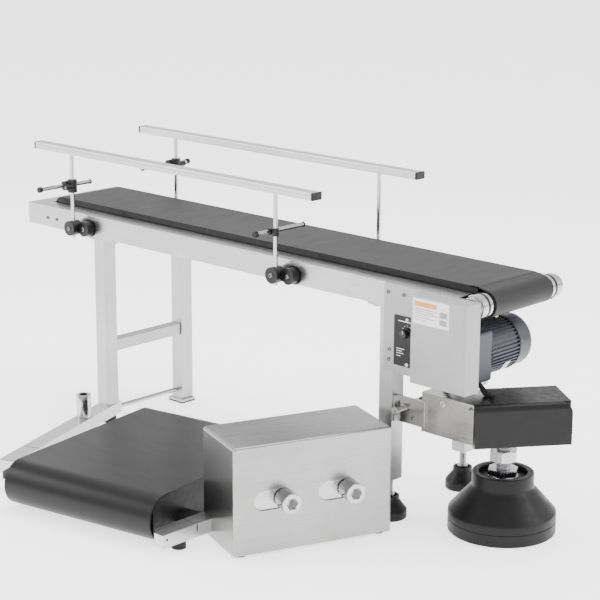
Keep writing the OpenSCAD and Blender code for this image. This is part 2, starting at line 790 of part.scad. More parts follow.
// Cover over the beam's front, with a rounded top edge and far top corner, and a thin
// shell back over the beam's top and far end.
module arm_end_cap() placed() color([0.11, 0.11, 0.12]) {
    h = channel_h + 2 * cap_shell;
    w = beam_len + 2 * cap_shell;
    r = 15;
    corner = 24;
    in_beam() translate([0, -cap_shell, -cap_shell]) difference() {
        union() {
            along_y(0, w) {
                square([cap_t, h - r]);
                square([cap_t - r, h]);
                intersection() {
                    translate([cap_t - r, h - r]) circle(r);
                    square([cap_t, h]);
                }
            }
            translate([-beam_d, cap_shell + 40, h - cap_shell]) cube([beam_d + 1, w - cap_shell - 40, cap_shell]);
            translate([-beam_d, w - cap_shell, 0]) cube([beam_d + 1, cap_shell, h]);
        }
        translate([-1, w - corner, h - corner]) rotate([90, 0, 90]) linear_extrude(cap_t + 2) difference() {
            square([corner + 1, corner + 1]);
            circle(corner);
        }
    }
}

module big_foot() placed() color([0.1, 0.1, 0.11]) translate([foot_x, foot_y, 0]) {
    rotate_extrude() polygon([
        [0, 0], [big_foot_r, 0], [big_foot_r, 46], [big_foot_r - 2, 49],
        [68, 104], [68, 133], [66, 135], [55, 135], [53, 133], [53, 122], [0, 122]
    ]);
    translate([0, 0, 120]) cylinder(r = big_stud_r, h = 122);
    translate([0, 0, low_nut_z]) linear_extrude(low_nut_h) hexagon(big_nut_af + 6);
    translate([0, 0, 121.5]) cylinder(r = 34, h = low_nut_z - 121);
}

// -------------------------------------------------------------- low belt unit

// The left floor bar runs from under the near left leg to the low unit's corner.
module on_left_bar() {
    translate([left_leg_x + leg_c, leg_c, 0]) rotate(bar_turn) children();
}

module left_bar_block() {
    on_left_bar() translate([-floor_bar_w / 2, -left_bar_len + 30, bar_z])
        cube([floor_bar_w, left_bar_len, floor_bar_h]);
}

module left_base_bar() placed() color("silver") difference() {
    left_bar_block();
    on_left_bar() left_bar_cuts();
}

module left_bar_cuts() {
    translate([-floor_bar_w / 2 - 1, -left_bar_len + 30 + 108, bar_z + floor_bar_h - 18])
        cube([floor_bar_w + 2, slit_w, 20]);
    translate([0, -125, bar_z - 1]) cylinder(r = 10.01, h = floor_bar_h + 2);
}

// Tall socket-head screw that clamps the left floor bar to its pad.
module bar_clamp_screw() placed() color("gainsboro") on_left_bar() translate([0, -125, 0]) difference() {
    union() {
        translate([0, 0, 12]) cylinder(r = 10, h = bar_z + floor_bar_h - 12);
        translate([0, 0, bar_z + floor_bar_h]) cylinder(r = 18.5, h = 60);
    }
    translate([0, 0, bar_z + floor_bar_h + 44]) linear_extrude(17) hexagon(20);
}

module right_base_bar() placed() color("silver") difference() {
    translate([right_bar_x, right_bar_y, bar_z]) cube([floor_bar_w, 208, floor_bar_h]);
    translate([right_bar_x - 1, right_bar_y + 98, bar_z + floor_bar_h - 18]) cube([floor_bar_w + 2, slit_w, 20]);
    translate([right_bar_x, right_bar_y, bar_z - 1]) rotate(-45) translate([-30, -20, 0]) cube([60, 20 + 12, 60]);
    in_box() translate([0, -50, 0]) cube([200, 300, 120]);
    rod_x_axis(right_bar_x + floor_bar_w - 12, right_bar_y + 12, bar_z + 18, 2.6, 20);
}

// Unit axes: +X across the low belt, +Y along it towards the conveyor, Z up.
module in_low_unit() {
    translate([low_x, low_y, low_z]) rotate(low_turn) children();
}

// Bed, side plates and the stubs that reach the floor bars.
module low_bed_frame() placed() color("dimgray") {
    plates = [14, low_w - 19];
    y0 = 30;
    stub_z = bar_z - low_z + 6;
    in_low_unit() {
        for (x = plates) difference() {
            translate([x, y0, 12]) cube([5, low_len - 2 * y0, 2 * low_r - 24]);
            for (y = [low_r, low_len - low_r]) rod_x_axis(x - 1, y, low_r, shaft_r + fit, 7);
        }
        translate([plates[0], 2 * low_r + 6, 2 * low_r - 12])
            cube([plates[1] + 5 - plates[0], low_len - 4 * low_r - 12, 12 - low_t - belt_gap]);
    }
    difference() {
        in_low_unit() translate([plates[1] + 5, 108, stub_z]) cube([80, 40, 18]);
        translate([right_bar_x, right_bar_y - 50, 0]) cube([200, 400, 100]);
    }
    difference() {
        in_low_unit() translate([plates[0] - 200, 96, stub_z]) cube([200, 40, 18]);
        on_left_bar() translate([-300, -600, 0]) cube([300 + floor_bar_w / 2, 700, 80]);
    }
}

module low_roller(y) {
    in_low_unit() {
        rod_x_axis(20, y, low_r, low_r - low_t - belt_gap, low_w - 40);
        rod_x_axis(14, y, low_r, shaft_r, low_w - 28);
    }
}

module low_front_roller() placed() color("gainsboro") low_roller(low_r);
module low_rear_roller() placed() color("gainsboro") low_roller(low_len - low_r);

module low_loop(x, len, r) {
    in_low_unit() translate([x, 0, 0]) rotate([90, 0, 90]) linear_extrude(len)
        belt_outline(low_r, low_r, r, low_len - low_r, low_r, r);
}

module low_belt() placed() color([0.16, 0.16, 0.17]) difference() {
    low_loop(0, low_w, low_r);
    low_loop(-1, low_w + 2, low_r - low_t);
}

// --------------------------------------------------------------- adjuster box

// Box axes: +X runs along the slotted face, +Y goes into the box, Z is up.
module in_box() {
    translate([box_x, box_y, 0]) rotate(box_turn + 90) children();
}

module adjuster_box() placed() color("silver") in_box() translate([0, 0, box_foot]) difference() {
    translate([0, box_d, 0]) rotate([90, 0, 0]) linear_extrude(box_d) rounded_rect_top(box_w, box_h - box_foot, box_r);
    difference() {
        translate([box_t, box_t, -1]) cube([box_w - 2 * box_t, box_d - 2 * box_t, box_h - box_foot - box_t + 1]);
        for (x = [0, box_w - corner_plate], y = [0, box_d - corner_plate])
            translate([x, y, 0]) cube([corner_plate, corner_plate, 4]);
    }
    for (u = bolt_u) translate([u, -1, slot_z - box_foot]) rotate([-90, 0, 0]) {
        for (s = [0, -slot_len]) translate([s, 0, 0]) cylinder(r = slot_half, h = box_t + 2);
        translate([-slot_len, -slot_half, 0]) cube([slot_len, 2 * slot_half, box_t + 2]);
    }
}

module rounded_rect_top(w, h, r) {
    square([w, h - r]);
    translate([r, 0]) square([w - 2 * r, h]);
    for (x = [r, w - r]) translate([x, h - r]) circle(r);
}

// Clamp bolt and the slide block behind its slot.
module take_up(u) {
    translate([u, 0, slot_z]) {
        difference() {
            union() {
                translate([0, box_t + gap, 0]) rotate([90, 0, 0]) cylinder(r = 18, h = box_t + gap + 3);
                translate([0, -1, 0]) rotate([90, 0, 0]) cylinder(r = bolt_head_r, h = 41);
            }
            translate([0, -24, 0]) rotate([90, 0, 0]) linear_extrude(30) hexagon(24);
        }
        translate([-block_back, box_t + gap, -29]) cube([block_back + block_front, 8, 58]);
        translate([0, box_t + gap + 7, 0]) rotate([-90, 0, 0]) cylinder(r = 10, h = 26);
        translate([0, box_t + gap + 14, 0]) rotate([-90, 0, 0]) linear_extrude(12) hexagon(30);
    }
}

module take_up_left() placed() color("gainsboro") in_box() take_up(bolt_u[0]);
module take_up_right() placed() color("gainsboro") in_box() take_up(bolt_u[1]);

module rubber_pads() placed() color([0.08, 0.08, 0.08]) {
    in_box() for (x = [22, box_w - 22], y = [22, box_d - 22]) translate([x, y, 0]) cylinder(r = 14, h = box_foot);
    on_left_bar() {
        translate([0, -125, 0]) difference() {
            cylinder(r = 20, h = bar_z);
            translate([0, 0, 12]) cylinder(r = 10.01, h = bar_z);
        }
        for (y = [4, -left_bar_len + 62]) translate([0, y, 0]) cylinder(r = 18, h = bar_z);
    }
    translate([right_bar_x + floor_bar_w / 2, right_bar_y + 65, 0]) cylinder(r = 16, h = bar_z);
    translate([left_leg_x - 8, frame_w - leg_w - 8, 0]) cube([leg_w + 16, leg_w + 8, 4]);
}

near_side_frame();
far_side_frame();
tail_bracket();
cross_members();
slider_bed();
conveyor_belt();
drum_bearing_housings();
near_left_leg();
far_left_leg();
near_right_leg();
far_right_leg();
leg_crossbars();
tie_rods();
hex_fasteners();
pan_head_screws();
knuckle_clamps();
control_plate();
drive_cover();
control_panel();
controller_body();
gearbox();
motor_body();
fan_cover();
cable_gland();
motor_struts();
drive_belt();
arm_channel();
arm_brackets();
arm_end_cap();
left_base_bar();
bar_clamp_screw();
right_base_bar();
low_bed_frame();
low_belt();
adjuster_box();
rubber_pads();
drive_drum();
tail_roller();
gear_output_shaft();
cooling_fan();
near_rail_bar();
near_rail_caps();
near_rail_posts();
near_cross_clamps();
far_rail_bar();
far_rail_caps();
far_rail_posts();
far_cross_clamp();
near_left_rod();
near_right_rod();
far_left_rod();
speed_knob();
power_switch();
near_right_foot();
far_right_foot();
big_foot();
low_front_roller();
low_rear_roller();
take_up_left();
take_up_right();
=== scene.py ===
"""Looks of a belt conveyor section: finishes, rounded edges, hardware and the studio round it."""

import json
import logging
import math
from dataclasses import dataclass, field
from enum import Enum
from typing import Callable, Iterable, Sequence

import bmesh
import bpy
from mathutils import Matrix, Vector

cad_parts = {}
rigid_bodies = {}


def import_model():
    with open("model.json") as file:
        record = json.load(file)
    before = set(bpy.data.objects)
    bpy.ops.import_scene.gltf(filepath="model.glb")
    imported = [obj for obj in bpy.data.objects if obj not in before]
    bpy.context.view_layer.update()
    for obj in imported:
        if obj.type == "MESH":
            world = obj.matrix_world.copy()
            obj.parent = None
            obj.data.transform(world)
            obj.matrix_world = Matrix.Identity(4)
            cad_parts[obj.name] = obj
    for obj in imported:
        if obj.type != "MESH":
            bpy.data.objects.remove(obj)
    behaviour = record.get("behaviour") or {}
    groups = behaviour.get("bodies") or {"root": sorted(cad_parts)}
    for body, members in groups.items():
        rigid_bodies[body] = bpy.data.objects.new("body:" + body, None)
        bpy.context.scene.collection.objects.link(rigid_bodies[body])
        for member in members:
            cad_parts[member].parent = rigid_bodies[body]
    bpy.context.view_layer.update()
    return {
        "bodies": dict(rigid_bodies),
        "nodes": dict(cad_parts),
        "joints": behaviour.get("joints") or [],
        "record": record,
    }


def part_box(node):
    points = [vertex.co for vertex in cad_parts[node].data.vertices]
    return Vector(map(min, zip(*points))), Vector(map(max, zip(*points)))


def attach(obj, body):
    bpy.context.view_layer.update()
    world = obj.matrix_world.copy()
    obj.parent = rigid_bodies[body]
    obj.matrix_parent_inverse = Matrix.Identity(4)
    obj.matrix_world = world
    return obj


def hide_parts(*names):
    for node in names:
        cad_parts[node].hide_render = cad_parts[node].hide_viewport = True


LOG = logging.getLogger("conveyor")
MM = 0.001
ORIGIN = Vector((281.0, 281.0, 0.0))
Colour = tuple[float, float, float]
Shape = bmesh.types.BMesh
Socket = bpy.types.NodeSocket


def at(x: float, y: float, z: float) -> Vector:
    """A row point from millimetres along the machine, across from the near frame and up."""
    return (Vector((x, y, z)) - ORIGIN) * MM


class Axis(Enum):
    """A row axis, as a unit vector."""

    X = (1.0, 0.0, 0.0)
    Y = (0.0, 1.0, 0.0)
    Z = (0.0, 0.0, 1.0)
    NEAR = (0.0, -1.0, 0.0)
    DOWN = (0.0, 0.0, -1.0)

    @property
    def vector(self) -> Vector:
        """The axis as a vector."""
        return Vector(self.value)


# ------------------------------------------------------------------ finishes


class NodeTree:
    """A new material's node tree, with short ways to add the nodes that finishes share."""

    def __init__(self, name: str) -> None:
        """Makes an empty material with an output and a Principled shader."""
        self.material = bpy.data.materials.new(name)
        self.material.use_nodes = True
        self.tree = self.material.node_tree
        self.tree.nodes.clear()
        self.shader = self.node("BsdfPrincipled", {})
        self.node("OutputMaterial", {"Surface": self.shader.outputs["BSDF"]})
        self.place = self.node("TexCoord", {}).outputs["Object"]

    def fill(self, socket: Socket, value: object) -> None:
        """Sets a socket to a value, or links another socket to it."""
        if isinstance(value, Socket):
            self.tree.links.new(value, socket)
        else:
            socket.default_value = value

    def node(self, kind: str, inputs: dict[str | int, object], **settings: object) -> bpy.types.Node:
        """Adds a shader node.

        Args:
            kind: Its type, without the "ShaderNode" in front.
            inputs: A value or a socket for each of its inputs.
            settings: Its own settings, which are made first.
        """
        node = self.tree.nodes.new(f"ShaderNode{kind}")
        for name, value in settings.items():
            setattr(node, name, value)
        for name, value in inputs.items():
            self.fill(node.inputs[name], value)
        return node

    def put(self, name: str, value: object) -> None:
        """Sets or links an input of the main shader; a tuple is a colour."""
        self.fill(self.shader.inputs[name], (*value, 1.0) if isinstance(value, tuple) else value)

    def mapped(self, scale: Sequence[float], turn: float = 0.0) -> Socket:
        """Object coordinates turned about Z, in degrees, and then stretched along each axis."""
        turned = self.node("Mapping", {"Vector": self.place, "Rotation": (0, 0, math.radians(turn))})
        return self.node("Mapping", {"Vector": turned.outputs["Vector"], "Scale": scale}).outputs["Vector"]

    def noise(self, scale: float, detail: float = 3.0,
              coords: Socket | None = None) -> Socket:
        """A noise value."""
        inputs = {"Scale": scale, "Detail": detail, "Vector": coords or self.place}
        return self.node("TexNoise", inputs).outputs["Fac"]

    def spread(self, value: Socket, low: float, high: float,
               start: float = 0.3, end: float = 0.7) -> Socket:
        """Maps a value from start..end to low..high."""
        inputs = {"Value": value, "From Min": start, "From Max": end, "To Min": low, "To Max": high}
        return self.node("MapRange", inputs).outputs["Result"]

    def clouded(self, value: Socket, colour: Colour, darker: float, lighter: float,
                start: float = 0.3, end: float = 0.7) -> None:
        """Sets the base colour, uneven by a value.

        Args:
            value: The value that the colour follows.
            colour: The colour itself.
            darker: How much darker it is at the start, as a share.
            lighter: How much lighter it is at the end.
            start: The value at which it is darkest.
            end: The value at which it is lightest.
        """
        ends = [(*tinted(colour, share), 1.0) for share in (-darker, lighter)]
        factor = self.spread(value, 0.0, 1.0, start, end)
        mix = self.node("Mix", {"Factor": factor, "A": ends[0], "B": ends[1]}, data_type="RGBA")
        self.put("Base Color", mix.outputs["Result"])

    def uneven(self, value: Socket, roughness: float, low: float, high: float) -> None:
        """Sets the roughness, from a low to a high share of it by a value."""
        self.put("Roughness", self.spread(value, roughness * low, roughness * high))

    def relief(self, height: Socket, strength: float, depth: float,
               under: Socket | None = None) -> Socket:
        """A bump normal."""
        inputs = {"Height": height, "Strength": strength, "Distance": depth}
        if under is not None:
            inputs["Normal"] = under
        return self.node("Bump", inputs).outputs["Normal"]


def tinted(colour: Colour, by: float) -> Colour:
    """The colour made lighter or darker by a share."""
    return tuple(min(1.0, max(0.0, c * (1.0 + by))) for c in colour)


@dataclass(frozen=True)
class BrushedMetal:
    """Sheet metal with fine lines along one axis, cloudy patches and a little warmth."""

    name: str
    colour: Colour = (0.72, 0.72, 0.71)
    roughness: float = 0.3
    along: Axis = Axis.X
    turn: float = 0.0
    lines: float = 900.0
    line_depth: float = 0.5
    patch: float = 0.06

    def material(self) -> bpy.types.Material:
        """Builds the material."""
        tree = NodeTree(self.name)
        coords = tree.mapped([0.012 if c else 1.0 for c in self.along.value], self.turn)
        fine = tree.noise(self.lines, 4.0, coords)
        broad = tree.noise(self.lines * 0.16, 3.0, coords)
        shade = tree.node("Math", {0: broad, 1: 0.6, 2: tree.noise(7.0, 4.0)}, operation="MULTIPLY_ADD")
        tree.put("Metallic", 1.0)
        tree.clouded(shade.outputs[0], self.colour, self.patch, self.patch, 0.6, 1.05)
        tree.uneven(fine, self.roughness, 0.78, 1.25)
        tree.put("Normal", tree.relief(fine, self.line_depth, 0.00012, tree.relief(broad, 0.3, 0.0002)))
        return tree.material


@dataclass(frozen=True)
class SatinPaint:
    """Powder-coated or satin grey sheet with a faint orange-peel surface."""

    name: str
    colour: Colour
    roughness: float = 0.42
    metallic: float = 0.35
    peel: float = 420.0
    peel_depth: float = 0.12

    def material(self) -> bpy.types.Material:
        """Builds the material."""
        tree = NodeTree(self.name)
        tree.clouded(tree.noise(9.0, 3.0), self.colour, 0.04, 0.04)
        tree.put("Metallic", self.metallic)
        tree.uneven(tree.noise(60.0, 4.0), self.roughness, 0.88, 1.12)
        tree.put("Normal", tree.relief(tree.noise(self.peel, 2.0), self.peel_depth, 0.0004))
        return tree.material


@dataclass(frozen=True)
class Moulded:
    """Moulded plastic with fine grain and slightly uneven gloss."""

    name: str
    colour: Colour
    roughness: float = 0.42
    grain: float = 900.0
    grain_depth: float = 0.25
    gloss: float = 0.5

    def material(self) -> bpy.types.Material:
        """Builds the material."""
        tree = NodeTree(self.name)
        tree.clouded(tree.noise(24.0, 4.0), self.colour, 0.15, 0.2)
        tree.put("Specular IOR Level", self.gloss)
        tree.uneven(tree.noise(70.0, 5.0), self.roughness, 0.85, 1.2)
        tree.put("Normal", tree.relief(tree.noise(self.grain, 3.0), self.grain_depth, 0.00012))
        return tree.material


@dataclass(frozen=True)
class Polished:
    """Turned or plated metal with a mirror-like face and faint handling marks."""

    name: str
    colour: Colour = (0.82, 0.82, 0.83)
    roughness: float = 0.12
    marks: float = 160.0

    def material(self) -> bpy.types.Material:
        """Builds the material."""
        tree = NodeTree(self.name)
        tree.put("Metallic", 1.0)
        tree.clouded(tree.noise(30.0, 3.0), self.colour, 0.05, 0.03)
        tree.uneven(tree.noise(self.marks, 6.0), self.roughness, 0.7, 1.5)
        tree.put("Normal", tree.relief(tree.noise(self.marks * 3, 3.0), 0.06, 0.0001))
        return tree.material


@dataclass(frozen=True)
class BeltRubber:
    """Belt cover with a fine cloth print, dull with a soft sheen along the light."""

    name: str
    colour: Colour
    roughness: float = 0.5
    weave: float = 1400.0
    across: Axis = Axis.Y

    def material(self) -> bpy.types.Material:
        """Builds the material."""
        tree = NodeTree(self.name)
        tree.clouded(tree.noise(9.0, 6.0), self.colour, 0.05, 0.06)
        tree.put("Specular IOR Level", 0.26)
        scuffs = tree.noise(50.0, 6.0, tree.mapped([0.2 if c else 1.0 for c in self.across.value]))
        tree.uneven(scuffs, self.roughness, 0.95, 1.06)
        cells = tree.node("TexVoronoi", {"Scale": self.weave, "Vector": tree.place})
        tree.put("Normal", tree.relief(cells.outputs["Distance"], 0.22, 0.0002,
                                       tree.relief(tree.noise(220.0, 3.0), 0.12, 0.0004)))
        return tree.material


Finish = BrushedMetal | SatinPaint | Moulded | Polished | BeltRubber

BOX_TURN = 68.5
FLOOR_BAR_TURN = 20.2
BEAM_TURN = 37.0
CHANNEL_FACE = 18.0
WELD_REACH = 2e-6
SEAM_REACH = 1e-6
RING_REACH = 1e-5
HEX_SIDE = math.radians(60)
HEX_CORNER = 0.1547
THREAD_DEPTH = 0.42
FLAT_ANGLE = 0.6
FOLD_ANGLE = 50.0

FRAME_STEEL = BrushedMetal("brushed_frame_sheet", (0.42, 0.42, 0.415), 0.3, Axis.X)
LEG_STEEL = BrushedMetal("brushed_leg_tube", (0.40, 0.40, 0.405), 0.33, Axis.Z)
CROSS_STEEL = BrushedMetal("brushed_cross_tube", (0.37, 0.37, 0.375), 0.34, Axis.Y)
RAIL_METAL = BrushedMetal("satin_rail_bar", (0.55, 0.55, 0.545), 0.32, Axis.X, line_depth=0.3)
CHANNEL_STEEL = BrushedMetal("brushed_channel", (0.38, 0.37, 0.35), 0.2, Axis.X, patch=0.12)
BOX_STEEL = BrushedMetal("brushed_box_sheet", (0.33, 0.33, 0.325), 0.27, Axis.X, -BOX_TURN, 1100.0, 0.7, 0.09)
BLOCK_STEEL = BrushedMetal("ground_slide_plate", (0.5, 0.5, 0.49), 0.26, Axis.X, -BOX_TURN)
FLOOR_BAR_STEEL = BrushedMetal("brushed_floor_bar", (0.55, 0.55, 0.545), 0.3, Axis.Y, -FLOOR_BAR_TURN)
STRAIGHT_BAR_STEEL = BrushedMetal("brushed_straight_bar", (0.55, 0.55, 0.545), 0.3, Axis.Y)
COVER_PAINT = SatinPaint("satin_cover_sheet", (0.34, 0.34, 0.35), 0.4, 0.55)
PLATE_PAINT = SatinPaint("satin_drive_plate", (0.34, 0.34, 0.345), 0.38, 0.6)
MOTOR_PAINT = SatinPaint("blue_grey_casting", (0.036, 0.04, 0.056), 0.42, 0.1, 700.0, 0.3)
FAN_COVER_PAINT = SatinPaint("blue_grey_fan_cover", (0.036, 0.04, 0.055), 0.34, 0.1, 500.0, 0.15)
CHROME = Polished("polished_rod", (0.48, 0.48, 0.49), 0.13)
BOLT_STEEL = Polished("zinc_plated_bolt", (0.44, 0.44, 0.45), 0.2)
SCREW_STEEL = Polished("plated_screw", (0.2, 0.2, 0.205), 0.22)
BEARING_METAL = Polished("turned_bearing_housing", (0.52, 0.52, 0.52), 0.2)
BRASS = Polished("brass_gland", (0.83, 0.62, 0.28), 0.25)
BLACK_PLASTIC = Moulded("black_clamp_plastic", (0.006, 0.006, 0.0065), 0.36, gloss=0.3)
CAP_PLASTIC = Moulded("black_end_cap", (0.005, 0.005, 0.0055), 0.4, 700.0, 0.3, 0.25)
FOOT_PLASTIC = Moulded("black_foot_nylon", (0.004, 0.004, 0.0045), 0.42, 600.0, 0.4, 0.25)
PANEL_PLASTIC = Moulded("black_panel", (0.008, 0.008, 0.009), 0.36, gloss=0.3)
KNOB_PLASTIC = Moulded("glossy_knob", (0.006, 0.006, 0.006), 0.22, gloss=0.4)
STRUT_PAINT = Moulded("black_strut", (0.008, 0.008, 0.008), 0.38, gloss=0.35)
BODY_PLASTIC = Moulded("dull_housing", (0.02, 0.02, 0.022), 0.55, gloss=0.3)
PAD_RUBBER = Moulded("pad_rubber", (0.008, 0.008, 0.008), 0.65, gloss=0.3)
PRINT_WHITE = Moulded("white_print", (0.75, 0.75, 0.75), 0.5)
LABEL_WHITE = Moulded("label_white", (0.82, 0.82, 0.81), 0.38)
LABEL_ORANGE = Moulded("label_orange", (0.85, 0.3, 0.05), 0.42)
LABEL_GREY = Moulded("label_grey", (0.3, 0.3, 0.31), 0.45)
BELT_BLACK = BeltRubber("black_belt_cover", (0.016, 0.016, 0.017), 0.52)
DRUM_LAGGING = BeltRubber("drum_lagging", (0.012, 0.012, 0.013), 0.36, 900.0)
LOW_BELT_BLACK = BeltRubber("charcoal_low_belt", (0.005, 0.005, 0.0055), 0.34, 1400.0, Axis.X)
DRIVE_RUBBER = BeltRubber("toothed_belt_rubber", (0.01, 0.01, 0.01), 0.6)
BED_BLACK = Moulded("black_bed_plate", (0.01, 0.01, 0.011), 0.45, gloss=0.3)


class Paints:
    """Makes each finish once and hands out its material."""

    _made: dict[str, bpy.types.Material] = {}

    @classmethod
    def of(cls, finish: Finish) -> bpy.types.Material:
        """The finish's material."""
        if finish.name not in cls._made:
            cls._made[finish.name] = finish.material()
        return cls._made[finish.name]


# --------------------------------------------------------------------- tools


def linked(name: str, data: bpy.types.ID) -> bpy.types.Object:
    """A new object, linked to the scene."""
    thing = bpy.data.objects.new(name, data)
    bpy.context.scene.collection.objects.link(thing)
    return thing


def mesh_of(name: str, shape: Shape) -> bpy.types.Mesh:
    """A new mesh from a shape, which is freed."""
    mesh = bpy.data.meshes.new(name)
    shape.to_mesh(mesh)
    shape.free()
    return mesh


def smooth_by_angle(mesh: bpy.types.Mesh, degrees: float = 26.0) -> None:
    """Shades a mesh smooth, apart from its sharp edges."""
    for face in mesh.polygons:
        face.use_smooth = True
    mesh.set_sharp_from_angle(angle=math.radians(degrees))


def finished(name: str, shape: Shape, finish: Finish, body: str) -> bpy.types.Object:
    """Turns a bmesh into a piece that rides a body."""
    mesh = mesh_of(name, shape)
    smooth_by_angle(mesh)
    mesh.materials.append(Paints.of(finish))
    piece = linked(name, mesh)
    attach(piece, body)
    return piece


def facing(seat: Vector, axis: Vector) -> Matrix:
    """A matrix that puts a shape made along +Z at a seat, along an axis."""
    return Matrix.Translation(seat) @ axis.normalized().to_track_quat("Z", "Y").to_matrix().to_4x4()


def swung(degrees: float, axis: str = "Z") -> Matrix:
    """A turn about an axis through the origin."""
    return Matrix.Rotation(math.radians(degrees), 4, axis)


def raised(height: float) -> Matrix:
    """A move along +Z, in metres."""
    return Matrix.Translation((0, 0, height))


def turned(profile: Iterable[tuple[float, float]], steps: int = 64) -> Shape:
    """Spins a profile of (radius, height) points, in metres, about Z into a closed shape.

    Args:
        profile: Points from the axis at the bottom, round the outside, to the axis at the top.
        steps: Steps in the full turn.
    """
    shape = bmesh.new()
    points = [shape.verts.new((radius, 0.0, height)) for radius, height in profile]
    edges = [shape.edges.new(pair) for pair in zip(points, points[1:])]
    bmesh.ops.spin(shape, geom=[*points, *edges], cent=(0, 0, 0), axis=(0, 0, 1),
                   angle=math.tau, steps=steps, use_merge=True)
    bmesh.ops.remove_doubles(shape, verts=shape.verts, dist=SEAM_REACH)
    bmesh.ops.recalc_face_normals(shape, faces=shape.faces)
    return shape


def hex_prism(flats: float, height: float, chamfer: float) -> Shape:
    """A hexagon across its flats standing on the XY plane, with its rim bevelled."""
    shape = bmesh.new()
    bmesh.ops.create_cone(shape, cap_ends=True, segments=6, radius1=flats / math.sqrt(3),
                          radius2=flats / math.sqrt(3), depth=height)
    bmesh.ops.translate(shape, verts=shape.verts, vec=(0, 0, height / 2))
    bevel(shape, chamfer, 2)
    return shape


def sharp_edges(shape: Shape, degrees: float) -> list[bmesh.types.BMEdge]:
    """The edges of a shape whose two faces meet at more than an angle."""
    return [edge for edge in shape.edges
            if len(edge.link_faces) == 2 and edge.calc_face_angle(0.0) > math.radians(degrees)]


def bevel(shape: Shape, radius: float, segments: int = 2, degrees: float = 30.0,
          edges: Sequence[bmesh.types.BMEdge] | None = None) -> None:
    """Rounds the given edges of a shape, or every edge that is sharper than an angle."""
    bmesh.ops.bevel(shape, geom=sharp_edges(shape, degrees) if edges is None else edges, offset=radius,
                    offset_type="OFFSET", segments=segments, profile=0.5, affect="EDGES",
                    clamp_overlap=True, material=-1)


def block(low: Sequence[float], high: Sequence[float], radius: float = 0.0,
          segments: int = 2) -> Shape:
    """A box between two corners, in metres, with rounded edges."""
    shape = bmesh.new()
    bmesh.ops.create_cube(shape, size=1.0)
    size = [b - a for a, b in zip(low, high)]
    middle = [(a + b) / 2 for a, b in zip(low, high)]
    bmesh.ops.scale(shape, verts=shape.verts, vec=size)
    bmesh.ops.translate(shape, verts=shape.verts, vec=middle)
    if radius > 0:
        bevel(shape, radius, segments)
    return shape


def joined(parts: Iterable[Shape], places: Iterable[Matrix] | None = None) -> Shape:
    """Puts several shapes into one, each moved by its own matrix."""
    whole = bmesh.new()
    parts = list(parts)
    for part, place in zip(parts, places or [Matrix.Identity(4)] * len(parts)):
        part.transform(place)
        mesh = mesh_of("part", part)
        whole.from_mesh(mesh)
        bpy.data.meshes.remove(mesh)
    return whole


def placed(shape: Shape, place: Matrix) -> Shape:
    """One shape moved by a matrix."""
    return joined([shape], [place])


def copies(make: Callable[[], Shape], places: Sequence[Matrix]) -> Shape:
    """One shape repeated at several places."""
    return joined([make() for _ in places], places)


def button_screw(radius: float, height: float, socket: float, steps: int = 36) -> Shape:
    """A domed screw head with a hexagon socket, its seat on the XY plane.

    Args:
        radius: The head's radius.
        height: The head's height.
        socket: The socket's size across its flats.
        steps: Steps round the head, a multiple of 6.
    """
    dome = [(radius, 0.0), (radius, height * 0.25), (radius * 0.96, height * 0.5),
            (radius * 0.85, height * 0.8), (radius * 0.7, height * 0.97), (socket * 0.72, height)]
    hole = [(socket * 0.5, height), (socket * 0.5, height * 0.35), (0.0, height * 0.3)]
    shape = turned([(0.0, 0.0), *dome, *hole], steps)
    hexed(shape, socket * 0.5)
    return shape


def spun(profile: Sequence[tuple[float, float]], steps: int = 64) -> Shape:
    """A turned shape whose profile is given in millimetres."""
    return turned([(radius * MM, height * MM) for radius, height in profile], steps)


def hexed(shape: Shape, radius: float, drop: float = 0.0) -> None:
    """Pushes the rings of a turned shape at a radius out into hexagons.

    Args:
        shape: The shape.
        radius: The rings' radius, half the hexagon's size across its flats.
        drop: How far the corners are chamfered towards the shape's middle.
    """
    rings = [vert for vert in shape.verts if abs(vert.co.xy.length - radius) < RING_REACH]
    middle = sum(vert.co.z for vert in rings) / max(1, len(rings))
    for vert in rings:
        angle = math.atan2(vert.co.y, vert.co.x) % HEX_SIDE - HEX_SIDE / 2
        reach = 1.0 / math.cos(angle)
        vert.co.xy *= reach
        if drop:
            vert.co.z += math.copysign(drop * (reach - 1.0) / HEX_CORNER, middle - vert.co.z)


def socket_head(radius: float, height: float, socket: float, depth: float, chamfer: float,
                steps: int = 48) -> Shape:
    """A straight round head with a hexagon socket, standing on the XY plane.

    Args:
        radius: The head's radius.
        height: Its height.
        socket: The socket's size across its flats.
        depth: The socket's depth.
        chamfer: The rounding of the outer rims.
        steps: Steps round the head, a multiple of 6.
    """
    half = socket / 2
    shape = turned([(0.0, 0.0), (radius - chamfer * 0.5, 0.0), (radius, chamfer * 0.5),
                    (radius, height - chamfer), (radius - chamfer * 0.3, height - chamfer * 0.3),
                    (radius - chamfer, height), (socket * 0.62, height), (half, height - 0.6 * MM),
                    (half, height - depth), (0.0, height - depth - 1.5 * MM)], steps)
    hexed(shape, half)
    return shape


def threaded(radius: float, length: float, pitch: float, steps: int = 36) -> Shape:
    """A rod with level thread grooves, standing on the XY plane."""
    turns = max(2, round(length / pitch))
    step = length / turns
    root = radius - pitch * THREAD_DEPTH
    profile = [(0.0, 0.0)]
    for base in (turn * step for turn in range(turns)):
        profile += [(root, base), (radius, base + step * 0.4), (radius, base + step * 0.6)]
    profile += [(root, length), (0.0, length)]
    return turned(profile, steps)


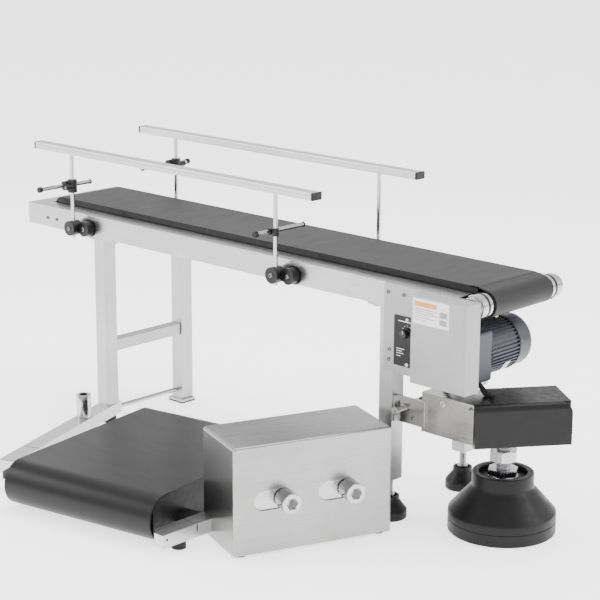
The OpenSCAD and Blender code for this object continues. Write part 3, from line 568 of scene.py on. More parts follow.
def hex_nut(flats: float, height: float, bore: float) -> Shape:
    """A nut with chamfered corners and a countersunk bore, standing on the XY plane."""
    half = flats / 2
    shape = turned([(bore, 0.8 * MM), (bore + 1.0 * MM, 0.0), (half * 0.94, 0.0), (half, 0.0),
                    (half, height), (half * 0.94, height), (bore + 1.0 * MM, height),
                    (bore, height - 0.8 * MM), (bore, 0.8 * MM)], 48)
    hexed(shape, half, (flats / math.sqrt(3) - half) * 0.5)
    return shape


def hex_bolt(flats: float, head: float, radius: float, length: float) -> Shape:
    """A bolt whose hexagon head stands on the XY plane and whose shank runs down from it."""
    half = flats / 2
    top = turned([(0.0, 0.0), (half, 0.0), (half, head), (half * 0.93, head), (0.0, head)], 36)
    hexed(top, half, (flats / math.sqrt(3) - half) * 0.5)
    return joined([top, threaded(radius, length, 1.25 * MM, 24)], [raised(0.0), raised(-length)])


def rod(radius: float, bottom: float, top: float, steps: int = 48) -> Shape:
    """A plain round rod between two heights, in millimetres."""
    return spun(((0, bottom), (radius, bottom), (radius, top), (0, top)), steps)


def welded(piece: bpy.types.Object) -> Shape:
    """A piece's shape with its doubled points merged."""
    shape = bmesh.new()
    shape.from_mesh(piece.data)
    bmesh.ops.remove_doubles(shape, verts=shape.verts, dist=WELD_REACH)
    return shape


def loose_boxes(piece: bpy.types.Object) -> list[tuple[Vector, Vector]]:
    """The lowest and highest corners of each loose part of a piece, in order."""
    shape = welded(piece)
    waiting, boxes = set(shape.verts), []
    while waiting:
        stack = [waiting.pop()]
        low, high = stack[0].co.copy(), stack[0].co.copy()
        while stack:
            vert = stack.pop()
            low = Vector([min(pair) for pair in zip(low, vert.co)])
            high = Vector([max(pair) for pair in zip(high, vert.co)])
            for edge in vert.link_edges:
                other = edge.other_vert(vert)
                if other in waiting:
                    waiting.discard(other)
                    stack.append(other)
        boxes.append((low, high))
    shape.free()
    return sorted(boxes, key=lambda box: tuple(round(c, 5) for c in box[0]))


@dataclass
class Assembly:
    """A sub-assembly: CAD nodes that it dresses, and pieces that it adds.

    Attributes:
        frame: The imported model.
    """

    frame: dict

    def body_of(self, node: str) -> str:
        """The body that a CAD node rides."""
        bodies = self.frame["record"]["behaviour"]["bodies"]
        return next(body for body, nodes in bodies.items() if node in nodes)

    def box(self, node: str) -> tuple[Vector, Vector]:
        """The node's lowest and highest corners."""
        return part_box(node)

    def middle(self, node: str) -> Vector:
        """The middle of the node's box."""
        low, high = self.box(node)
        return (low + high) / 2

    def stand(self, node: str) -> Matrix:
        """The place at the middle of the box's lower face."""
        low, high = self.box(node)
        return Matrix.Translation(((low.x + high.x) / 2, (low.y + high.y) / 2, low.z))

    def dress(self, node: str, finish: Finish) -> None:
        """Gives a CAD node a finish."""
        mesh = self.frame["nodes"][node].data
        mesh.materials.clear()
        mesh.materials.append(Paints.of(finish))
        LOG.info("%s: dressed with %s", node, finish.name)

    def cleaned(self, node: str) -> Shape:
        """A copy of a CAD node's shape, without the edges inside its flat faces."""
        shape = welded(self.frame["nodes"][node])
        bmesh.ops.dissolve_limit(shape, angle_limit=math.radians(FLAT_ANGLE), verts=shape.verts,
                                 edges=shape.edges, use_dissolve_boundaries=False)
        return shape

    def skin(self, node: str, shape: Shape, finish: Finish) -> bpy.types.Object:
        """Replaces a CAD node with a shape of about the same size."""
        piece = finished(f"{node}_skin", shape, finish, self.body_of(node))
        piece.modifiers.new("even_shading", "WEIGHTED_NORMAL").keep_sharp = True
        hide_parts(node)
        LOG.info("%s: rounded copy with %s", node, finish.name)
        return piece

    def rounded(self, node: str, finish: Finish, radius: float = 0.8 * MM,
                segments: int = 2) -> bpy.types.Object:
        """Replaces a CAD node with a copy whose edges are rounded.

        Args:
            node: The CAD node.
            finish: The copy's finish.
            radius: Radius of the rounded edges.
            segments: Steps across each rounded edge.
        """
        shape = self.cleaned(node)
        bevel(shape, radius, segments, FOLD_ANGLE)
        return self.skin(node, shape, finish)

    def add(self, name: str, shape: Shape, finish: Finish, like: str,
            replacing: Sequence[str] = ()) -> bpy.types.Object:
        """Adds a piece that rides with a CAD node.

        Args:
            name: The piece's name.
            shape: Its shape in the row frame.
            finish: Its finish.
            like: The CAD node whose body it takes.
            replacing: CAD nodes it stands for.
        """
        piece = finished(name, shape, finish, self.body_of(like))
        if replacing:
            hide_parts(*replacing)
        LOG.info("%s: new piece with %s", name, finish.name)
        return piece


# ------------------------------------------------------------ sub-assemblies


@dataclass
class Conveyor(Assembly):
    """Side frames, bed, belt, drum and tail.

    Attributes:
        ring_width: Width of each turned ring on a drum bearing housing.
        ring_start: How far the rings are from the housings' outer ends.
        nose_x: Where the carrying face ends, in mm along the machine.
    """

    ring_width: float = 2.4 * MM
    ring_start: float = 11 * MM
    nose_x: float = 1455.0

    def build(self) -> None:
        """Dresses the conveyor itself."""
        for node in ("near_side_frame", "far_side_frame"):
            self.rounded(node, FRAME_STEEL, 0.8 * MM)
        self.rounded("tail_bracket", FRAME_STEEL, 0.5 * MM)
        for node, finish in (("cross_members", CROSS_STEEL), ("slider_bed", BED_BLACK),
                             ("conveyor_belt", BELT_BLACK), ("drive_drum", DRUM_LAGGING),
                             ("tail_roller", DRUM_LAGGING)):
            self.dress(node, finish)
        self.rounded("drum_bearing_housings", BEARING_METAL, 1.2 * MM)
        self.housing_rings()
        self.splice()
        self.nose_lip()

    def housing_rings(self) -> None:
        """Dark and bright turned rings round the two bearing housings."""
        node = "drum_bearing_housings"
        near, far = self.box(node)
        low, high = self.box("drive_drum")
        radius, wide = (high.z - low.z) / 2, self.ring_width
        collar = [(0.0, 0.0), (radius - 0.6 * MM, 0.0), (radius + 0.2 * MM, 0.8 * MM),
                  (radius + 0.2 * MM, 6.4 * MM), (radius - 0.6 * MM, 7.2 * MM), (0.0, 7.2 * MM)]
        ring = [(0.0, 0.0), (radius - 0.6 * MM, 0.0), (radius, 0.6 * MM), (radius, wide),
                (radius - 0.4 * MM, wide + 0.4 * MM), (0.0, wide + 0.4 * MM)]
        shine = [facing(Vector(((low.x + high.x) / 2, start, (low.z + high.z) / 2)), Vector((0, away, 0)))
                 for start, away in ((near.y + self.ring_start, 1.0), (far.y - self.ring_start, -1.0))]
        seal = [place @ raised(15 * MM) for place in shine]
        self.add("housing_end_rings", copies(lambda: turned(ring, 96), shine), CHROME, node)
        self.add("housing_seal_rings", copies(lambda: turned(collar, 96), seal), BLACK_PLASTIC, node)

    def nose_lip(self) -> None:
        """The square end of the carrying face, above where the belt bends down to the drum."""
        low, high = self.box("conveyor_belt")
        nose = at(self.nose_x, 0, 0).x
        lip = block((nose - 24 * MM, low.y, high.z - 2.4 * MM), (nose, high.y, high.z + 0.25 * MM), 0.12 * MM)
        self.add("belt_nose_lip", lip, BELT_BLACK, "conveyor_belt")

    def splice(self) -> None:
        """The belt's welded splice: a fine slanting bead across the carrying face."""
        low, high = self.box("conveyor_belt")
        half = (high.y - low.y) / 2 * 1.03
        bead = block((-0.5 * MM, -half, -0.6 * MM), (0.5 * MM, half, 0.12 * MM), 0.1 * MM)
        middle = Vector((low.x + 0.34 * (high.x - low.x), (low.y + high.y) / 2, high.z))
        self.add("belt_splice", placed(bead, Matrix.Translation(middle) @ swung(-14)), BELT_BLACK,
                 "conveyor_belt")


@dataclass
class Stand(Assembly):
    """Legs, crossbars, tie rods, fasteners and levelling feet.

    Attributes:
        foot_profile: The leg feet's outside from the floor up, as radius and height in mm.
        cup_height: Where the stud leaves the cup.
        stud_radius: The leg feet's stud.
        middle_y: Screws nearer than this face the near side.
        head_height: How far a pan-head screw stands out.
        panel_screw: Head radius of the two white panel screws.
    """

    foot_profile: tuple[tuple[float, float], ...] = (
        (0, 0), (38.5, 0), (40, 1.5), (40, 9), (39.2, 9.6), (39.2, 10.6), (40, 11.2), (40, 18.5),
        (39.4, 20.2), (38, 21.8), (24, 40.2), (22.8, 42.4), (22.4, 44), (22.4, 51), (21.4, 52),
        (17.8, 52), (16.8, 51), (16.8, 46), (0, 46))
    cup_height: float = 46 * MM
    stud_radius: float = 8.0 * MM
    middle_y: float = -131.0 * MM
    head_height: float = 3 * MM
    panel_screw: float = 4 * MM

    def build(self) -> None:
        """Dresses the legs and what joins them."""
        for node in ("near_left_leg", "far_left_leg", "near_right_leg", "far_right_leg"):
            self.rounded(node, LEG_STEEL, 1.2 * MM)
        self.rounded("leg_crossbars", CROSS_STEEL, 1.2 * MM)
        self.dress("tie_rods", CHROME)
        self.dress("rubber_pads", PAD_RUBBER)
        self.fasteners()
        self.screws()
        for node in ("near_right_foot", "far_right_foot"):
            self.foot(node)

    def fasteners(self) -> None:
        """Hexagon bolts under the frame, and the large foot's lock nut."""
        bolts, nuts = [], []
        head = 5.3 * MM
        for low, high in loose_boxes(self.frame["nodes"]["hex_fasteners"]):
            middle, tall = (low + high) / 2, high.z - low.z
            if tall < 20 * MM:
                place = facing(Vector((middle.x, middle.y, low.z + head)), Axis.DOWN.vector)
                bolts.append((hex_bolt(13 * MM, head, 4 * MM, tall - head), place))
            else:
                nuts.append((hex_nut(56 * MM, tall, 16 * MM),
                             Matrix.Translation((middle.x, middle.y, low.z))))
        self.add("frame_bolts", joined(*zip(*bolts)), BOLT_STEEL, "hex_fasteners", ["hex_fasteners"])
        self.add("large_lock_nut", joined(*zip(*nuts)), BOLT_STEEL, "hex_fasteners")

    def screws(self) -> None:
        """Domed socket screws wherever the CAD has a pan-head screw."""
        white, plain = [], []
        for low, high in loose_boxes(self.frame["nodes"]["pan_head_screws"]):
            middle, radius = (low + high) / 2, (high.x - low.x) / 2
            near = middle.y < self.middle_y
            seat = low.y + self.head_height if near else high.y - self.head_height
            place = facing(Vector((middle.x, seat, middle.z)), (Axis.NEAR if near else Axis.Y).vector)
            row = white if abs(radius - self.panel_screw) < 0.2 * MM else plain
            row.append((button_screw(radius, self.head_height - 0.1 * MM, radius * 0.95), place))
        self.add("socket_screws", joined(*zip(*plain)), SCREW_STEEL, "pan_head_screws", ["pan_head_screws"])
        self.add("panel_screws", joined(*zip(*white)), PRINT_WHITE, "pan_head_screws")

    def foot(self, node: str) -> None:
        """One leg foot: cup and cone, threaded stud and nut."""
        low, high = self.box(node)
        stand = self.stand(node)
        self.add(f"{node}_cup", placed(spun(self.foot_profile, 96), stand), FOOT_PLASTIC, node, [node])
        up = stand @ raised(self.cup_height)
        stud = threaded(self.stud_radius, high.z - low.z - self.cup_height, 1.5 * MM)
        nut = hex_nut(24 * MM, 9 * MM, self.stud_radius)
        self.add(f"{node}_stud", joined([stud, nut], [up, up]), BOLT_STEEL, node)


@dataclass
class SideRails(Assembly):
    """Rail bars, posts, clamps and cross rods.

    Attributes:
        knob_profile: A rod knob from its tip, as radius and height in mm.
    """

    knob_profile: tuple[tuple[float, float], ...] = (
        (0, 0.8), (3.4, 0.8), (4, 0), (6, 0), (7, 0.5), (7.4, 1.4), (7.4, 3), (6.9, 3.4), (6.9, 4),
        (7.4, 4.4), (7.4, 8.6), (6.6, 9.4), (5.2, 9.4), (0, 9.4))

    def build(self) -> None:
        """Dresses both rails."""
        for side in ("near", "far"):
            self.rounded(f"{side}_rail_bar", RAIL_METAL, 1.2 * MM)
            self.rounded(f"{side}_rail_caps", BLACK_PLASTIC, 1.5 * MM)
            self.dress(f"{side}_rail_posts", CHROME)
        for node, radius in (("near_cross_clamps", 1.5), ("far_cross_clamp", 1.5), ("knuckle_clamps", 2.0)):
            self.rounded(node, BLACK_PLASTIC, radius * MM)
        for node in ("near_left_rod", "near_right_rod", "far_left_rod"):
            self.cross_rod(node)
        self.clamp_fittings()

    def cross_rod(self, node: str) -> None:
        """A polished rod with a ribbed black knob on its outer end and a dark rim on the other."""
        low, high = self.box(node)
        middle = self.middle(node)
        length = (high.y - low.y) / MM
        bar = spun(((0, 0), (4.4, 0), (5, 0.6), (5, length - 2.6), (4.4, length - 2), (0, length - 2)), 48)
        outer = node.startswith("near")
        tip = Vector((middle.x, low.y if outer else high.y, middle.z))
        inward = facing(tip, (Axis.Y if outer else Axis.NEAR).vector)
        self.add(f"{node}_bar", placed(bar, inward @ raised(2 * MM)), CHROME, node, [node])
        rim = spun(((0, length - 3), (6, length - 3), (6.4, length - 2.6), (6.4, length - 0.6),
                    (5.8, length), (4, length), (3.6, length - 0.8), (0, length - 0.8)), 48)
        self.add(f"{node}_knobs", joined([spun(self.knob_profile, 48), rim], [inward, inward]),
                 BLACK_PLASTIC, node)

    def clamp_fittings(self) -> None:
        """The cross clamps' screws and the rails' fine face grooves, drawn as flush dark strips of painted
        shade.
        """
        places = []
        for node, way in (("near_cross_clamps", -1), ("far_cross_clamp", 1)):
            low, high = self.box(node)
            face = low.y if way < 0 else high.y
            high_x = high.x if way > 0 else low.x + 42 * MM
            places.append(facing(Vector((high_x - 11 * MM, face - way * 0.4 * MM, (low.z + high.z) / 2)),
                                 Vector((0, way, 0))))
        self.add("cross_clamp_screws", copies(lambda: button_screw(4 * MM, 1.6 * MM, 3.4 * MM, 24), places),
                 SCREW_STEEL, "near_cross_clamps")
        for side, way in (("near", -1), ("far", 1)):
            low, high = self.box(f"{side}_rail_bar")
            face = low.y if way < 0 else high.y
            # Painted shade: a dark strip flush with the rail face stands in for the shadow inside the groove.
            line = block((low.x + 6 * MM, face - 0.06 * MM, high.z - 6.4 * MM),
                         (high.x - 6 * MM, face + 0.06 * MM, high.z - 5.8 * MM))
            self.add(f"{side}_rail_groove_shade", line, SCREW_STEEL, f"{side}_rail_bar")


@dataclass
class Drive(Assembly):
    """Drive plate, cover, controls, gearbox and motor.

    Attributes:
        label_low: The cover label's lower left corner, from the cover's corner.
        label_size: Its width and height.
        motor_radius: Radius over the motor's ribs.
        dial_dots: Dots round the speed dial.
    """

    label_low: tuple[float, float] = (5 * MM, 134 * MM)
    label_size: tuple[float, float] = (98 * MM, 55 * MM)
    motor_radius: float = 60 * MM
    dial_dots: int = 11

    def build(self) -> None:
        """Dresses the drive and adds its small parts."""
        self.rounded("control_plate", PLATE_PAINT, 0.6 * MM)
        self.rounded("drive_cover", COVER_PAINT, 1.4 * MM, 3)
        for node, finish, radius in (("control_panel", PANEL_PLASTIC, 0.5), ("gearbox", MOTOR_PAINT, 2.0),
                                     ("motor_struts", STRUT_PAINT, 0.8), ("power_switch", KNOB_PLASTIC, 0.5)):
            self.rounded(node, finish, radius * MM)
        for node, finish in (("controller_body", BODY_PLASTIC), ("motor_body", MOTOR_PAINT),
                             ("fan_cover", FAN_COVER_PAINT), ("drive_belt", DRIVE_RUBBER),
                             ("gear_output_shaft", BOLT_STEEL), ("cooling_fan", BODY_PLASTIC)):
            self.dress(node, finish)
        for detail in (self.cover_folds, self.label, self.speed_dial, self.panel_marks, self.gland,
                       self.motor_fittings):
            detail()

    def cover_folds(self) -> None:
        """The cover's folded side flange: a raised bead down its free edge and along its lower edge."""
        low, high = self.box("drive_cover")
        face = low.y
        parts = [block((high.x - 7 * MM, face - 0.25 * MM, low.z + 3 * MM),
                       (high.x - 5.8 * MM, face + 0.5 * MM, high.z - 3 * MM), 0.1 * MM),
                 block((low.x + 3 * MM, face - 0.25 * MM, low.z + 5.5 * MM),
                       (high.x - 7 * MM, face + 0.5 * MM, low.z + 6.5 * MM), 0.1 * MM)]
        self.add("cover_fold_beads", joined(parts), COVER_PAINT, "drive_cover")

    def label(self) -> None:
        """A generic white label with a coloured header and plain rules."""
        low, _ = self.box("drive_cover")
        left, bottom = low.x + self.label_low[0], low.z + self.label_low[1]
        wide, tall = self.label_size
        face = low.y

        def patch(x: float, z: float, w: float, h: float, lift: float) -> Shape:
            """A thin patch on the label, in shares of its size."""
            return block((left + x * wide, face - lift, bottom + z * tall),
                         (left + (x + w) * wide, face, bottom + (z + h) * tall), 0.05 * MM, 1)

        self.add("cover_label", patch(0, 0, 1, 1, 0.3 * MM), LABEL_WHITE, "drive_cover")
        self.add("label_header", patch(0.05, 0.70, 0.60, 0.18, 0.42 * MM), LABEL_ORANGE,
                 "drive_cover")
        rules = [patch(0.05, 0.58 - 0.085 * row, width, 0.03, 0.42 * MM)
                 for row, width in enumerate((0.62, 0.55, 0.62, 0.4, 0.58, 0.34))]
        rules += [patch(0.74, 0.12 + 0.3 * row, 0.2, 0.22, 0.42 * MM) for row in range(2)]
        self.add("label_rules", joined(rules), LABEL_GREY, "drive_cover")

    def speed_dial(self) -> None:
        """The speed knob with its grip flutes, pointer and dial dots."""
        middle = self.middle("speed_knob")
        seat = Vector((middle.x, self.box("control_panel")[0].y - 0.5 * MM, middle.z))
        knob = spun(((0, 0), (10.4, 0), (11, 0.6), (11, 2.2), (9.9, 3.2), (9.5, 4), (9.1, 13), (8.4, 15),
                     (7.4, 15.7), (0, 15.7)), 96)
        for vert in knob.verts:
            if 3.9 * MM < vert.co.z < 13.5 * MM:
                angle = math.atan2(vert.co.y, vert.co.x)
                vert.co.xy *= 1.0 - 0.055 * (math.cos(angle * 16) > 0.2)
        self.add("speed_knob_grip", placed(knob, facing(seat, Axis.NEAR.vector)), KNOB_PLASTIC,
                 "speed_knob", ["speed_knob"])
        pointer = block((-0.8 * MM, -16.1 * MM, 1 * MM), (0.8 * MM, -15.5 * MM, 8 * MM), 0.2 * MM)
        self.add("speed_knob_pointer", placed(pointer, Matrix.Translation(seat)), PRINT_WHITE, "speed_knob")
        places = []
        for step in range(self.dial_dots):
            angle = math.radians(-140 + 280 * step / (self.dial_dots - 1))
            offset = Vector((math.sin(angle), 0, math.cos(angle))) * 15.5 * MM
            places.append(facing(seat + offset + Vector((0, 0.5 * MM, 0)), Axis.NEAR.vector))
        dot = ((0, 0), (0.95, 0), (0.95, 0.2), (0, 0.25))
        self.add("dial_dots", copies(lambda: spun(dot, 16), places), PRINT_WHITE, "control_panel")

    def panel_marks(self) -> None:
        """The rocker's bezel and plain printed marks on the panel."""
        low, high = self.box("power_switch")
        panel_low, panel_high = self.box("control_panel")
        face, gap, rim = panel_low.y, 1.2 * MM, 2.2 * MM
        x0, x1, z0, z1 = low.x - gap, high.x + gap, low.z - gap, high.z + gap
        frame = [block((left, face - 1.6 * MM, bottom), (right, face, top), 0.4 * MM)
                 for left, right, bottom, top in ((x0 - rim, x1 + rim, z0 - rim, z0),
                                                  (x0 - rim, x1 + rim, z1, z1 + rim),
                                                  (x0 - rim, x0, z0, z1), (x1, x1 + rim, z0, z1))]
        self.add("rocker_bezel", joined(frame), KNOB_PLASTIC, "control_panel")
        marks = [block((panel_low.x + 8 * MM, face - 0.2 * MM, panel_low.z + z * MM),
                       (panel_low.x + (8 + w) * MM, face, panel_low.z + (z + 1.4) * MM))
                 for z, w in ((38, 22), (33, 16), (28, 20), (22, 12))]
        marks.append(block((panel_low.x + 12 * MM, face - 0.2 * MM, panel_high.z - 12 * MM),
                           (panel_high.x - 20 * MM, face, panel_high.z - 10 * MM)))
        self.add("panel_marks", joined(marks), PRINT_WHITE, "control_panel")

    def gland(self) -> None:
        """Brass cable gland: a hexagon, a dome nut and a dark seal."""
        stand = self.stand("cable_gland")
        dome = spun(((0, 5), (5.9, 5), (5.9, 7.4), (5.2, 8.6), (4.1, 9.6), (3.2, 10), (0, 10)), 36)
        self.add("gland_nut", joined([hex_prism(14 * MM, 6 * MM, 0.5 * MM), dome], [stand, stand]), BRASS,
                 "cable_gland", ["cable_gland"])
        seal = spun(((0, 9.5), (2.9, 9.5), (2.6, 10.4), (1.6, 10.2), (0, 9.9)), 24)
        self.add("gland_seal", placed(seal, stand), PAD_RUBBER, "cable_gland")

    def outward(self, degrees: float, start: float, radius: float) -> Matrix:
        """A place on the motor's side, facing away from its axis."""
        angle = math.radians(degrees)
        away = Vector((math.cos(angle), 0, math.sin(angle)))
        middle = self.middle("fan_cover")
        front = self.box("fan_cover")[0].y
        return facing(Vector((middle.x, front + start, middle.z)) + away * radius, away)

    def motor_fittings(self) -> None:
        """The band between ribs and fan cover, the cover's screws and a blank rating plate."""
        middle = self.middle("fan_cover")
        band = spun(((0, 0), (60, 0), (60.9, 0.7), (60.9, 3.3), (60, 4), (0, 4)), 96)
        start = Vector((middle.x, self.box("fan_cover")[0].y - 1.5 * MM, middle.z))
        self.add("fan_cover_band", placed(band, facing(start, Axis.Y.vector)), BLACK_PLASTIC, "fan_cover")
        places = [self.outward(angle, 9 * MM, self.motor_radius - 1.2 * MM) for angle in (12, 100, 192, 280)]
        self.add("fan_cover_screws", copies(lambda: button_screw(3 * MM, 1.2 * MM, 2.4 * MM, 24), places),
                 SCREW_STEEL, "fan_cover")
        plate = block((-9 * MM, -13 * MM, -0.5 * MM), (9 * MM, 13 * MM, 0.6 * MM), 0.3 * MM)
        self.add("blank_rating_plate", placed(plate, self.outward(-38, -36 * MM, self.motor_radius)),
                 LABEL_WHITE, "motor_body")


@dataclass
class BaseArm(Assembly):
    """Base channel, its brackets, end cap and large levelling foot.

    Attributes:
        cup_profile: The foot's outside from the floor up, as radius and height in mm.
        stud_radius: The foot's stud.
        washer_top: The washer's top, from the floor.
        beam_x: Where the beam starts, in mm along the machine.
        channel_z: The channel's lower face, in mm.
        plug_x: The plug's place, in mm along the machine.
    """

    cup_profile: tuple[tuple[float, float], ...] = (
        (0, 0), (117, 0), (119, 2), (119, 26.8), (117.9, 27.4), (117.9, 28.6), (119, 29.2), (119, 44.5),
        (118.4, 47), (116.6, 49.3), (72, 99), (69, 102.6), (68, 106), (68, 132), (67.3, 134), (65.6, 135),
        (56, 135), (54, 134), (53, 132), (53, 122), (0, 122))
    stud_radius: float = 16.0 * MM
    washer_top: float = 127.6 * MM
    beam_x: float = 1478.0
    channel_z: float = 222.0
    plug_x: float = 1391.0

    def build(self) -> None:
        """Dresses the base arm."""
        self.rounded("arm_channel", CHANNEL_STEEL, 1.0 * MM)
        self.rounded("arm_brackets", CHANNEL_STEEL, 0.8 * MM)
        self.rounded("arm_end_cap", CAP_PLASTIC, 3.0 * MM, 4)
        self.large_foot()
        self.plug()
        self.cap_web()

    def cap_web(self) -> None:
        """The thin web behind the cover's rounded far corner."""
        beam = Matrix.Translation(at(self.beam_x, CHANNEL_FACE, self.channel_z)) @ swung(-BEAM_TURN)
        web = block((-0.9 * MM, 184 * MM, 64 * MM), (0.3 * MM, 212 * MM, 92 * MM), 0.1 * MM)
        self.add("cover_corner_web", placed(web, beam), CAP_PLASTIC, "arm_end_cap")

    def large_foot(self) -> None:
        """The large foot: cup, washer, nut and threaded stud."""
        low, high = self.box("big_foot")
        stand = self.stand("big_foot")
        self.add("large_foot_cup", placed(spun(self.cup_profile, 160), stand), FOOT_PLASTIC,
                 "big_foot", ["big_foot"])
        washer = spun(((0, 121.9), (33, 121.9), (34, 122.6), (34, 126.6), (33, 127.6), (0, 127.6)), 96)
        up = stand @ raised(self.washer_top)
        nut = hex_nut(62 * MM, 14.2 * MM, self.stud_radius)
        stud = threaded(self.stud_radius, high.z - low.z - self.washer_top, 3.0 * MM, 48)
        self.add("large_foot_stud", joined([washer, nut, stud], [stand, up, up]), BOLT_STEEL, "big_foot")

    def plug(self) -> None:
        """A small domed plug in the channel's side."""
        plug = spun(((0, 0), (6.5, 0), (6.5, 0.5), (5.2, 1.0), (4.6, 0.6), (0, 0.3)), 48)
        seat = at(self.plug_x, CHANNEL_FACE, 0)
        seat.z = self.box("arm_channel")[0].z + 74 * MM
        self.add("channel_plug", placed(plug, facing(seat, Axis.NEAR.vector)), CHROME, "arm_channel")


@dataclass
class LowUnit(Assembly):
    """Low belt unit with its floor bars."""

    def build(self) -> None:
        """Dresses the low unit."""
        self.dress("low_belt", LOW_BELT_BLACK)
        self.dress("low_bed_frame", BED_BLACK)
        for node in ("low_front_roller", "low_rear_roller"):
            self.dress(node, BODY_PLASTIC)
        self.rounded("left_base_bar", FLOOR_BAR_STEEL, 1.5 * MM)
        self.rounded("right_base_bar", STRAIGHT_BAR_STEEL, 1.5 * MM)
        self.clamp_screw()

    def clamp_screw(self) -> None:
        """The tall socket-head screw on the left floor bar."""
        high = self.box("bar_clamp_screw")[1]
        middle = self.middle("bar_clamp_screw")
        stand = Matrix.Translation((middle.x, middle.y, 0))
        head = socket_head(18.5 * MM, high.z - 50 * MM, 20 * MM, 16 * MM, 1.2 * MM, 96)
        self.add("clamp_screw_head", joined([rod(10, 12, 51), head], [stand, stand @ raised(50 * MM)]),
                 CHROME, "bar_clamp_screw", ["bar_clamp_screw"])


@dataclass
class AdjusterBox(Assembly):
    """Slotted box with its two clamp bolts.

    Attributes:
        corner: The slotted face's near lower corner, in mm in the machine's own measure.
        bolts: Each bolt's place along the face, in mm.
        bolt_height: The bolts' height above the floor, in mm.
        fold: Radius of the box's outer edges.
        block_back: How far a slide block reaches behind its bolt.
        block_front: How far it reaches ahead of it.
    """

    corner: tuple[float, float] = (1178.0, -403.0)
    bolts: tuple[float, float] = (116.0, 266.0)
    bolt_height: float = 122.0
    fold: float = 4.0 * MM
    block_back: float = 70.0 * MM
    block_front: float = 30.0 * MM

    def build(self) -> None:
        """Dresses the box and models its bolts."""
        self.shell()
        for node, along in zip(("take_up_left", "take_up_right"), self.bolts):
            self.bolt(node, along)

    @property
    def face(self) -> Matrix:
        """The slotted face: X along it, Y into the box, from its near lower corner."""
        return Matrix.Translation(at(*self.corner, 0)) @ swung(BOX_TURN)

    def shell(self) -> None:
        """The folded box: wide rounded outer edges, and finely broken slot edges."""
        shape = self.cleaned("adjuster_box")
        inverse = self.face.inverted()
        deep = max((inverse @ vert.co).y for vert in shape.verts)
        wide = max((inverse @ vert.co).x for vert in shape.verts)
        outer, fine = [], []
        for edge in sharp_edges(shape, FOLD_ANGLE):
            ends = [inverse @ vert.co for vert in edge.verts]
            on_face = any(all(abs(end.y - side) < 0.05 * MM for end in ends) for side in (0.0, deep))
            in_slot = all(30 * MM < end.x < wide - 30 * MM and 60 * MM < end.z < 180 * MM for end in ends)
            at_floor = all(end.z < 10 * MM for end in ends)
            if on_face and in_slot:
                fine.append(edge)
            elif on_face and not at_floor:
                outer.append(edge)
        bevel(shape, 0.5 * MM, 2, edges=fine)
        bevel(shape, self.fold, 4, edges=[edge for edge in outer if edge.is_valid])
        self.skin("adjuster_box", shape, BOX_STEEL)

    def bolt(self, node: str, along: float) -> None:
        """A clamp bolt with its collar, slide block, end stud and nut."""
        face = self.face @ Matrix.Translation((along * MM, 0, self.bolt_height * MM))
        out, inward = face @ swung(90, "X"), face @ swung(-90, "X")
        head = socket_head(22.5 * MM, 41 * MM, 24 * MM, 18 * MM, 1.5 * MM, 96)
        self.add(f"{node}_bolt", joined([head, rod(18, -3.2, 3, 64)], [out @ raised(1 * MM), out]),
                 CHROME, node, [node])
        plate = block((-self.block_back, 3 * MM, -29 * MM), (self.block_front, 11 * MM, 29 * MM), 0.8 * MM)
        parts = [plate, threaded(10 * MM, 26 * MM, 2.0 * MM), hex_nut(30 * MM, 12 * MM, 10 * MM)]
        places = [face, inward @ raised(10 * MM), inward @ raised(17 * MM)]
        self.add(f"{node}_block", joined(parts, places), BLOCK_STEEL, node)


# -------------------------------------------------------------------- studio


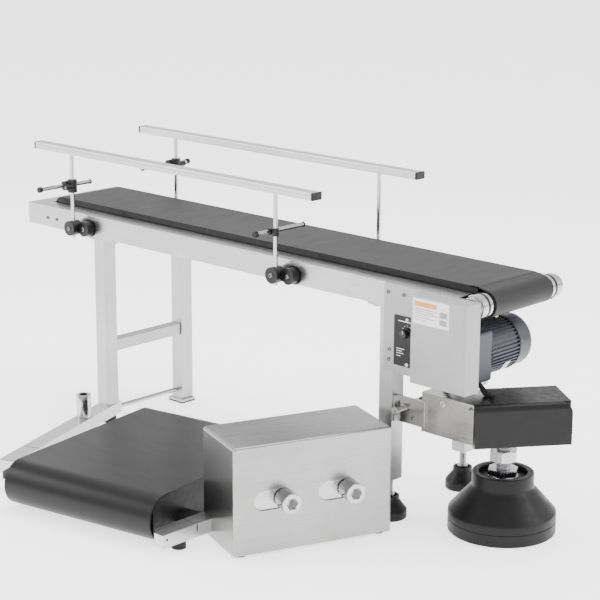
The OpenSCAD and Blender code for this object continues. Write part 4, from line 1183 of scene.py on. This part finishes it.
@dataclass
class Studio:
    """Pale floor, soft lights and the camera.

    Attributes:
        eye: The camera's place, in the row frame.
        yaw: Its turn from +Y towards +X, in degrees.
        pitch: How far it looks down, in degrees.
        roll: Its turn about its own axis, in degrees.
        lens: Focal length for a 36 mm wide sensor.
        floor_glow: How strongly the floor shines by itself.
        sky_glow: How strongly the world shines.
    """

    eye: Vector = field(default_factory=lambda: Vector((3.42975, -3.1499, 1.47908)))
    yaw: float = -43.55
    pitch: float = 14.48
    roll: float = 0.27
    lens: float = 108.0
    floor_glow: float = 1.8
    sky_glow: float = 1.9

    def camera(self) -> None:
        """Puts the camera in place and makes it the scene's."""
        data = bpy.data.cameras.new("camera")
        data.lens = self.lens
        data.sensor_width = 36.0
        data.clip_end = 100.0
        camera = linked("camera", data)
        yaw, pitch = math.radians(self.yaw), math.radians(self.pitch)
        ahead = Vector((math.sin(yaw) * math.cos(pitch), math.cos(yaw) * math.cos(pitch), -math.sin(pitch)))
        turn = ahead.to_track_quat("-Z", "Y").to_matrix().to_4x4()
        camera.matrix_world = Matrix.Translation(self.eye) @ turn @ swung(self.roll)
        bpy.context.scene.camera = camera

    def floor(self) -> None:
        """A wide pale floor."""
        shape = bmesh.new()
        bmesh.ops.create_grid(shape, x_segments=1, y_segments=1, size=40.0)
        mesh = mesh_of("floor", shape)
        tree = NodeTree("pale_floor")
        for name, value in (("Base Color", (0.95, 0.95, 0.95)), ("Emission Color", (1.0, 1.0, 1.0)),
                            ("Emission Strength", self.floor_glow), ("Roughness", 0.55),
                            ("Specular IOR Level", 0.25)):
            tree.put(name, value)
        mesh.materials.append(tree.material)
        floor = linked("floor", mesh)

    def light(self, name: str, place: Sequence[float], aim: Sequence[float], size: Sequence[float],
              power: float) -> None:
        """One rectangular softbox.

        Args:
            name: The light's name.
            place: Where it is.
            aim: The point it faces.
            size: Its width and height, in metres.
            power: Its power in watts.
        """
        data = bpy.data.lights.new(name, "AREA")
        data.shape = "RECTANGLE"
        data.size, data.size_y = size
        data.energy = power
        lamp = linked(name, data)
        lamp.location = place
        lamp.rotation_mode = "QUATERNION"
        lamp.rotation_quaternion = (Vector(aim) - Vector(place)).to_track_quat("-Z", "Y")

    def sky(self) -> None:
        """A pale world, brighter overhead than at the sides, that metal can mirror."""
        world = bpy.data.worlds.new("studio")
        bpy.context.scene.world = world
        world.use_nodes = True
        nodes, links = world.node_tree.nodes, world.node_tree.links
        place = nodes.new("ShaderNodeTexCoord")
        split = nodes.new("ShaderNodeSeparateXYZ")
        links.new(place.outputs["Generated"], split.inputs["Vector"])
        ramp = nodes.new("ShaderNodeValToRGB")
        steps = ((0.0, 0.25), (0.1, 0.6), (0.22, 1.0), (0.45, 0.85), (1.0, 0.4))
        while len(ramp.color_ramp.elements) < len(steps):
            ramp.color_ramp.elements.new(0.5)
        for element, (height, grey) in zip(ramp.color_ramp.elements, steps):
            element.position = height
            element.color = (grey, grey, grey * 1.01, 1.0)
        links.new(split.outputs["Z"], ramp.inputs["Fac"])
        backdrop = nodes["Background"]
        links.new(ramp.outputs["Color"], backdrop.inputs["Color"])
        backdrop.inputs["Strength"].default_value = self.sky_glow

    def build(self) -> None:
        """Builds the whole studio."""
        self.camera()
        self.floor()
        self.sky()
        self.light("top_softbox", (0.4, 0.2, 3.2), (0.4, 0.0, 0.3), (3.0, 2.4), 130.0)
        self.light("left_softbox", (-2.6, -2.6, 2.2), (0.3, -0.2, 0.3), (2.2, 1.8), 85.0)
        self.light("right_softbox", (3.6, 1.2, 1.8), (0.9, 0.0, 0.3), (1.6, 1.8), 50.0)


def main() -> None:
    """Builds every sub-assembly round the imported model."""
    logging.basicConfig(level=logging.INFO, format="%(name)s: %(message)s")
    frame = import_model()
    Studio().build()
    for kind in (Conveyor, Stand, SideRails, Drive, BaseArm, LowUnit, AdjusterBox):
        kind(frame).build()


if __name__ == "__main__":
    main()
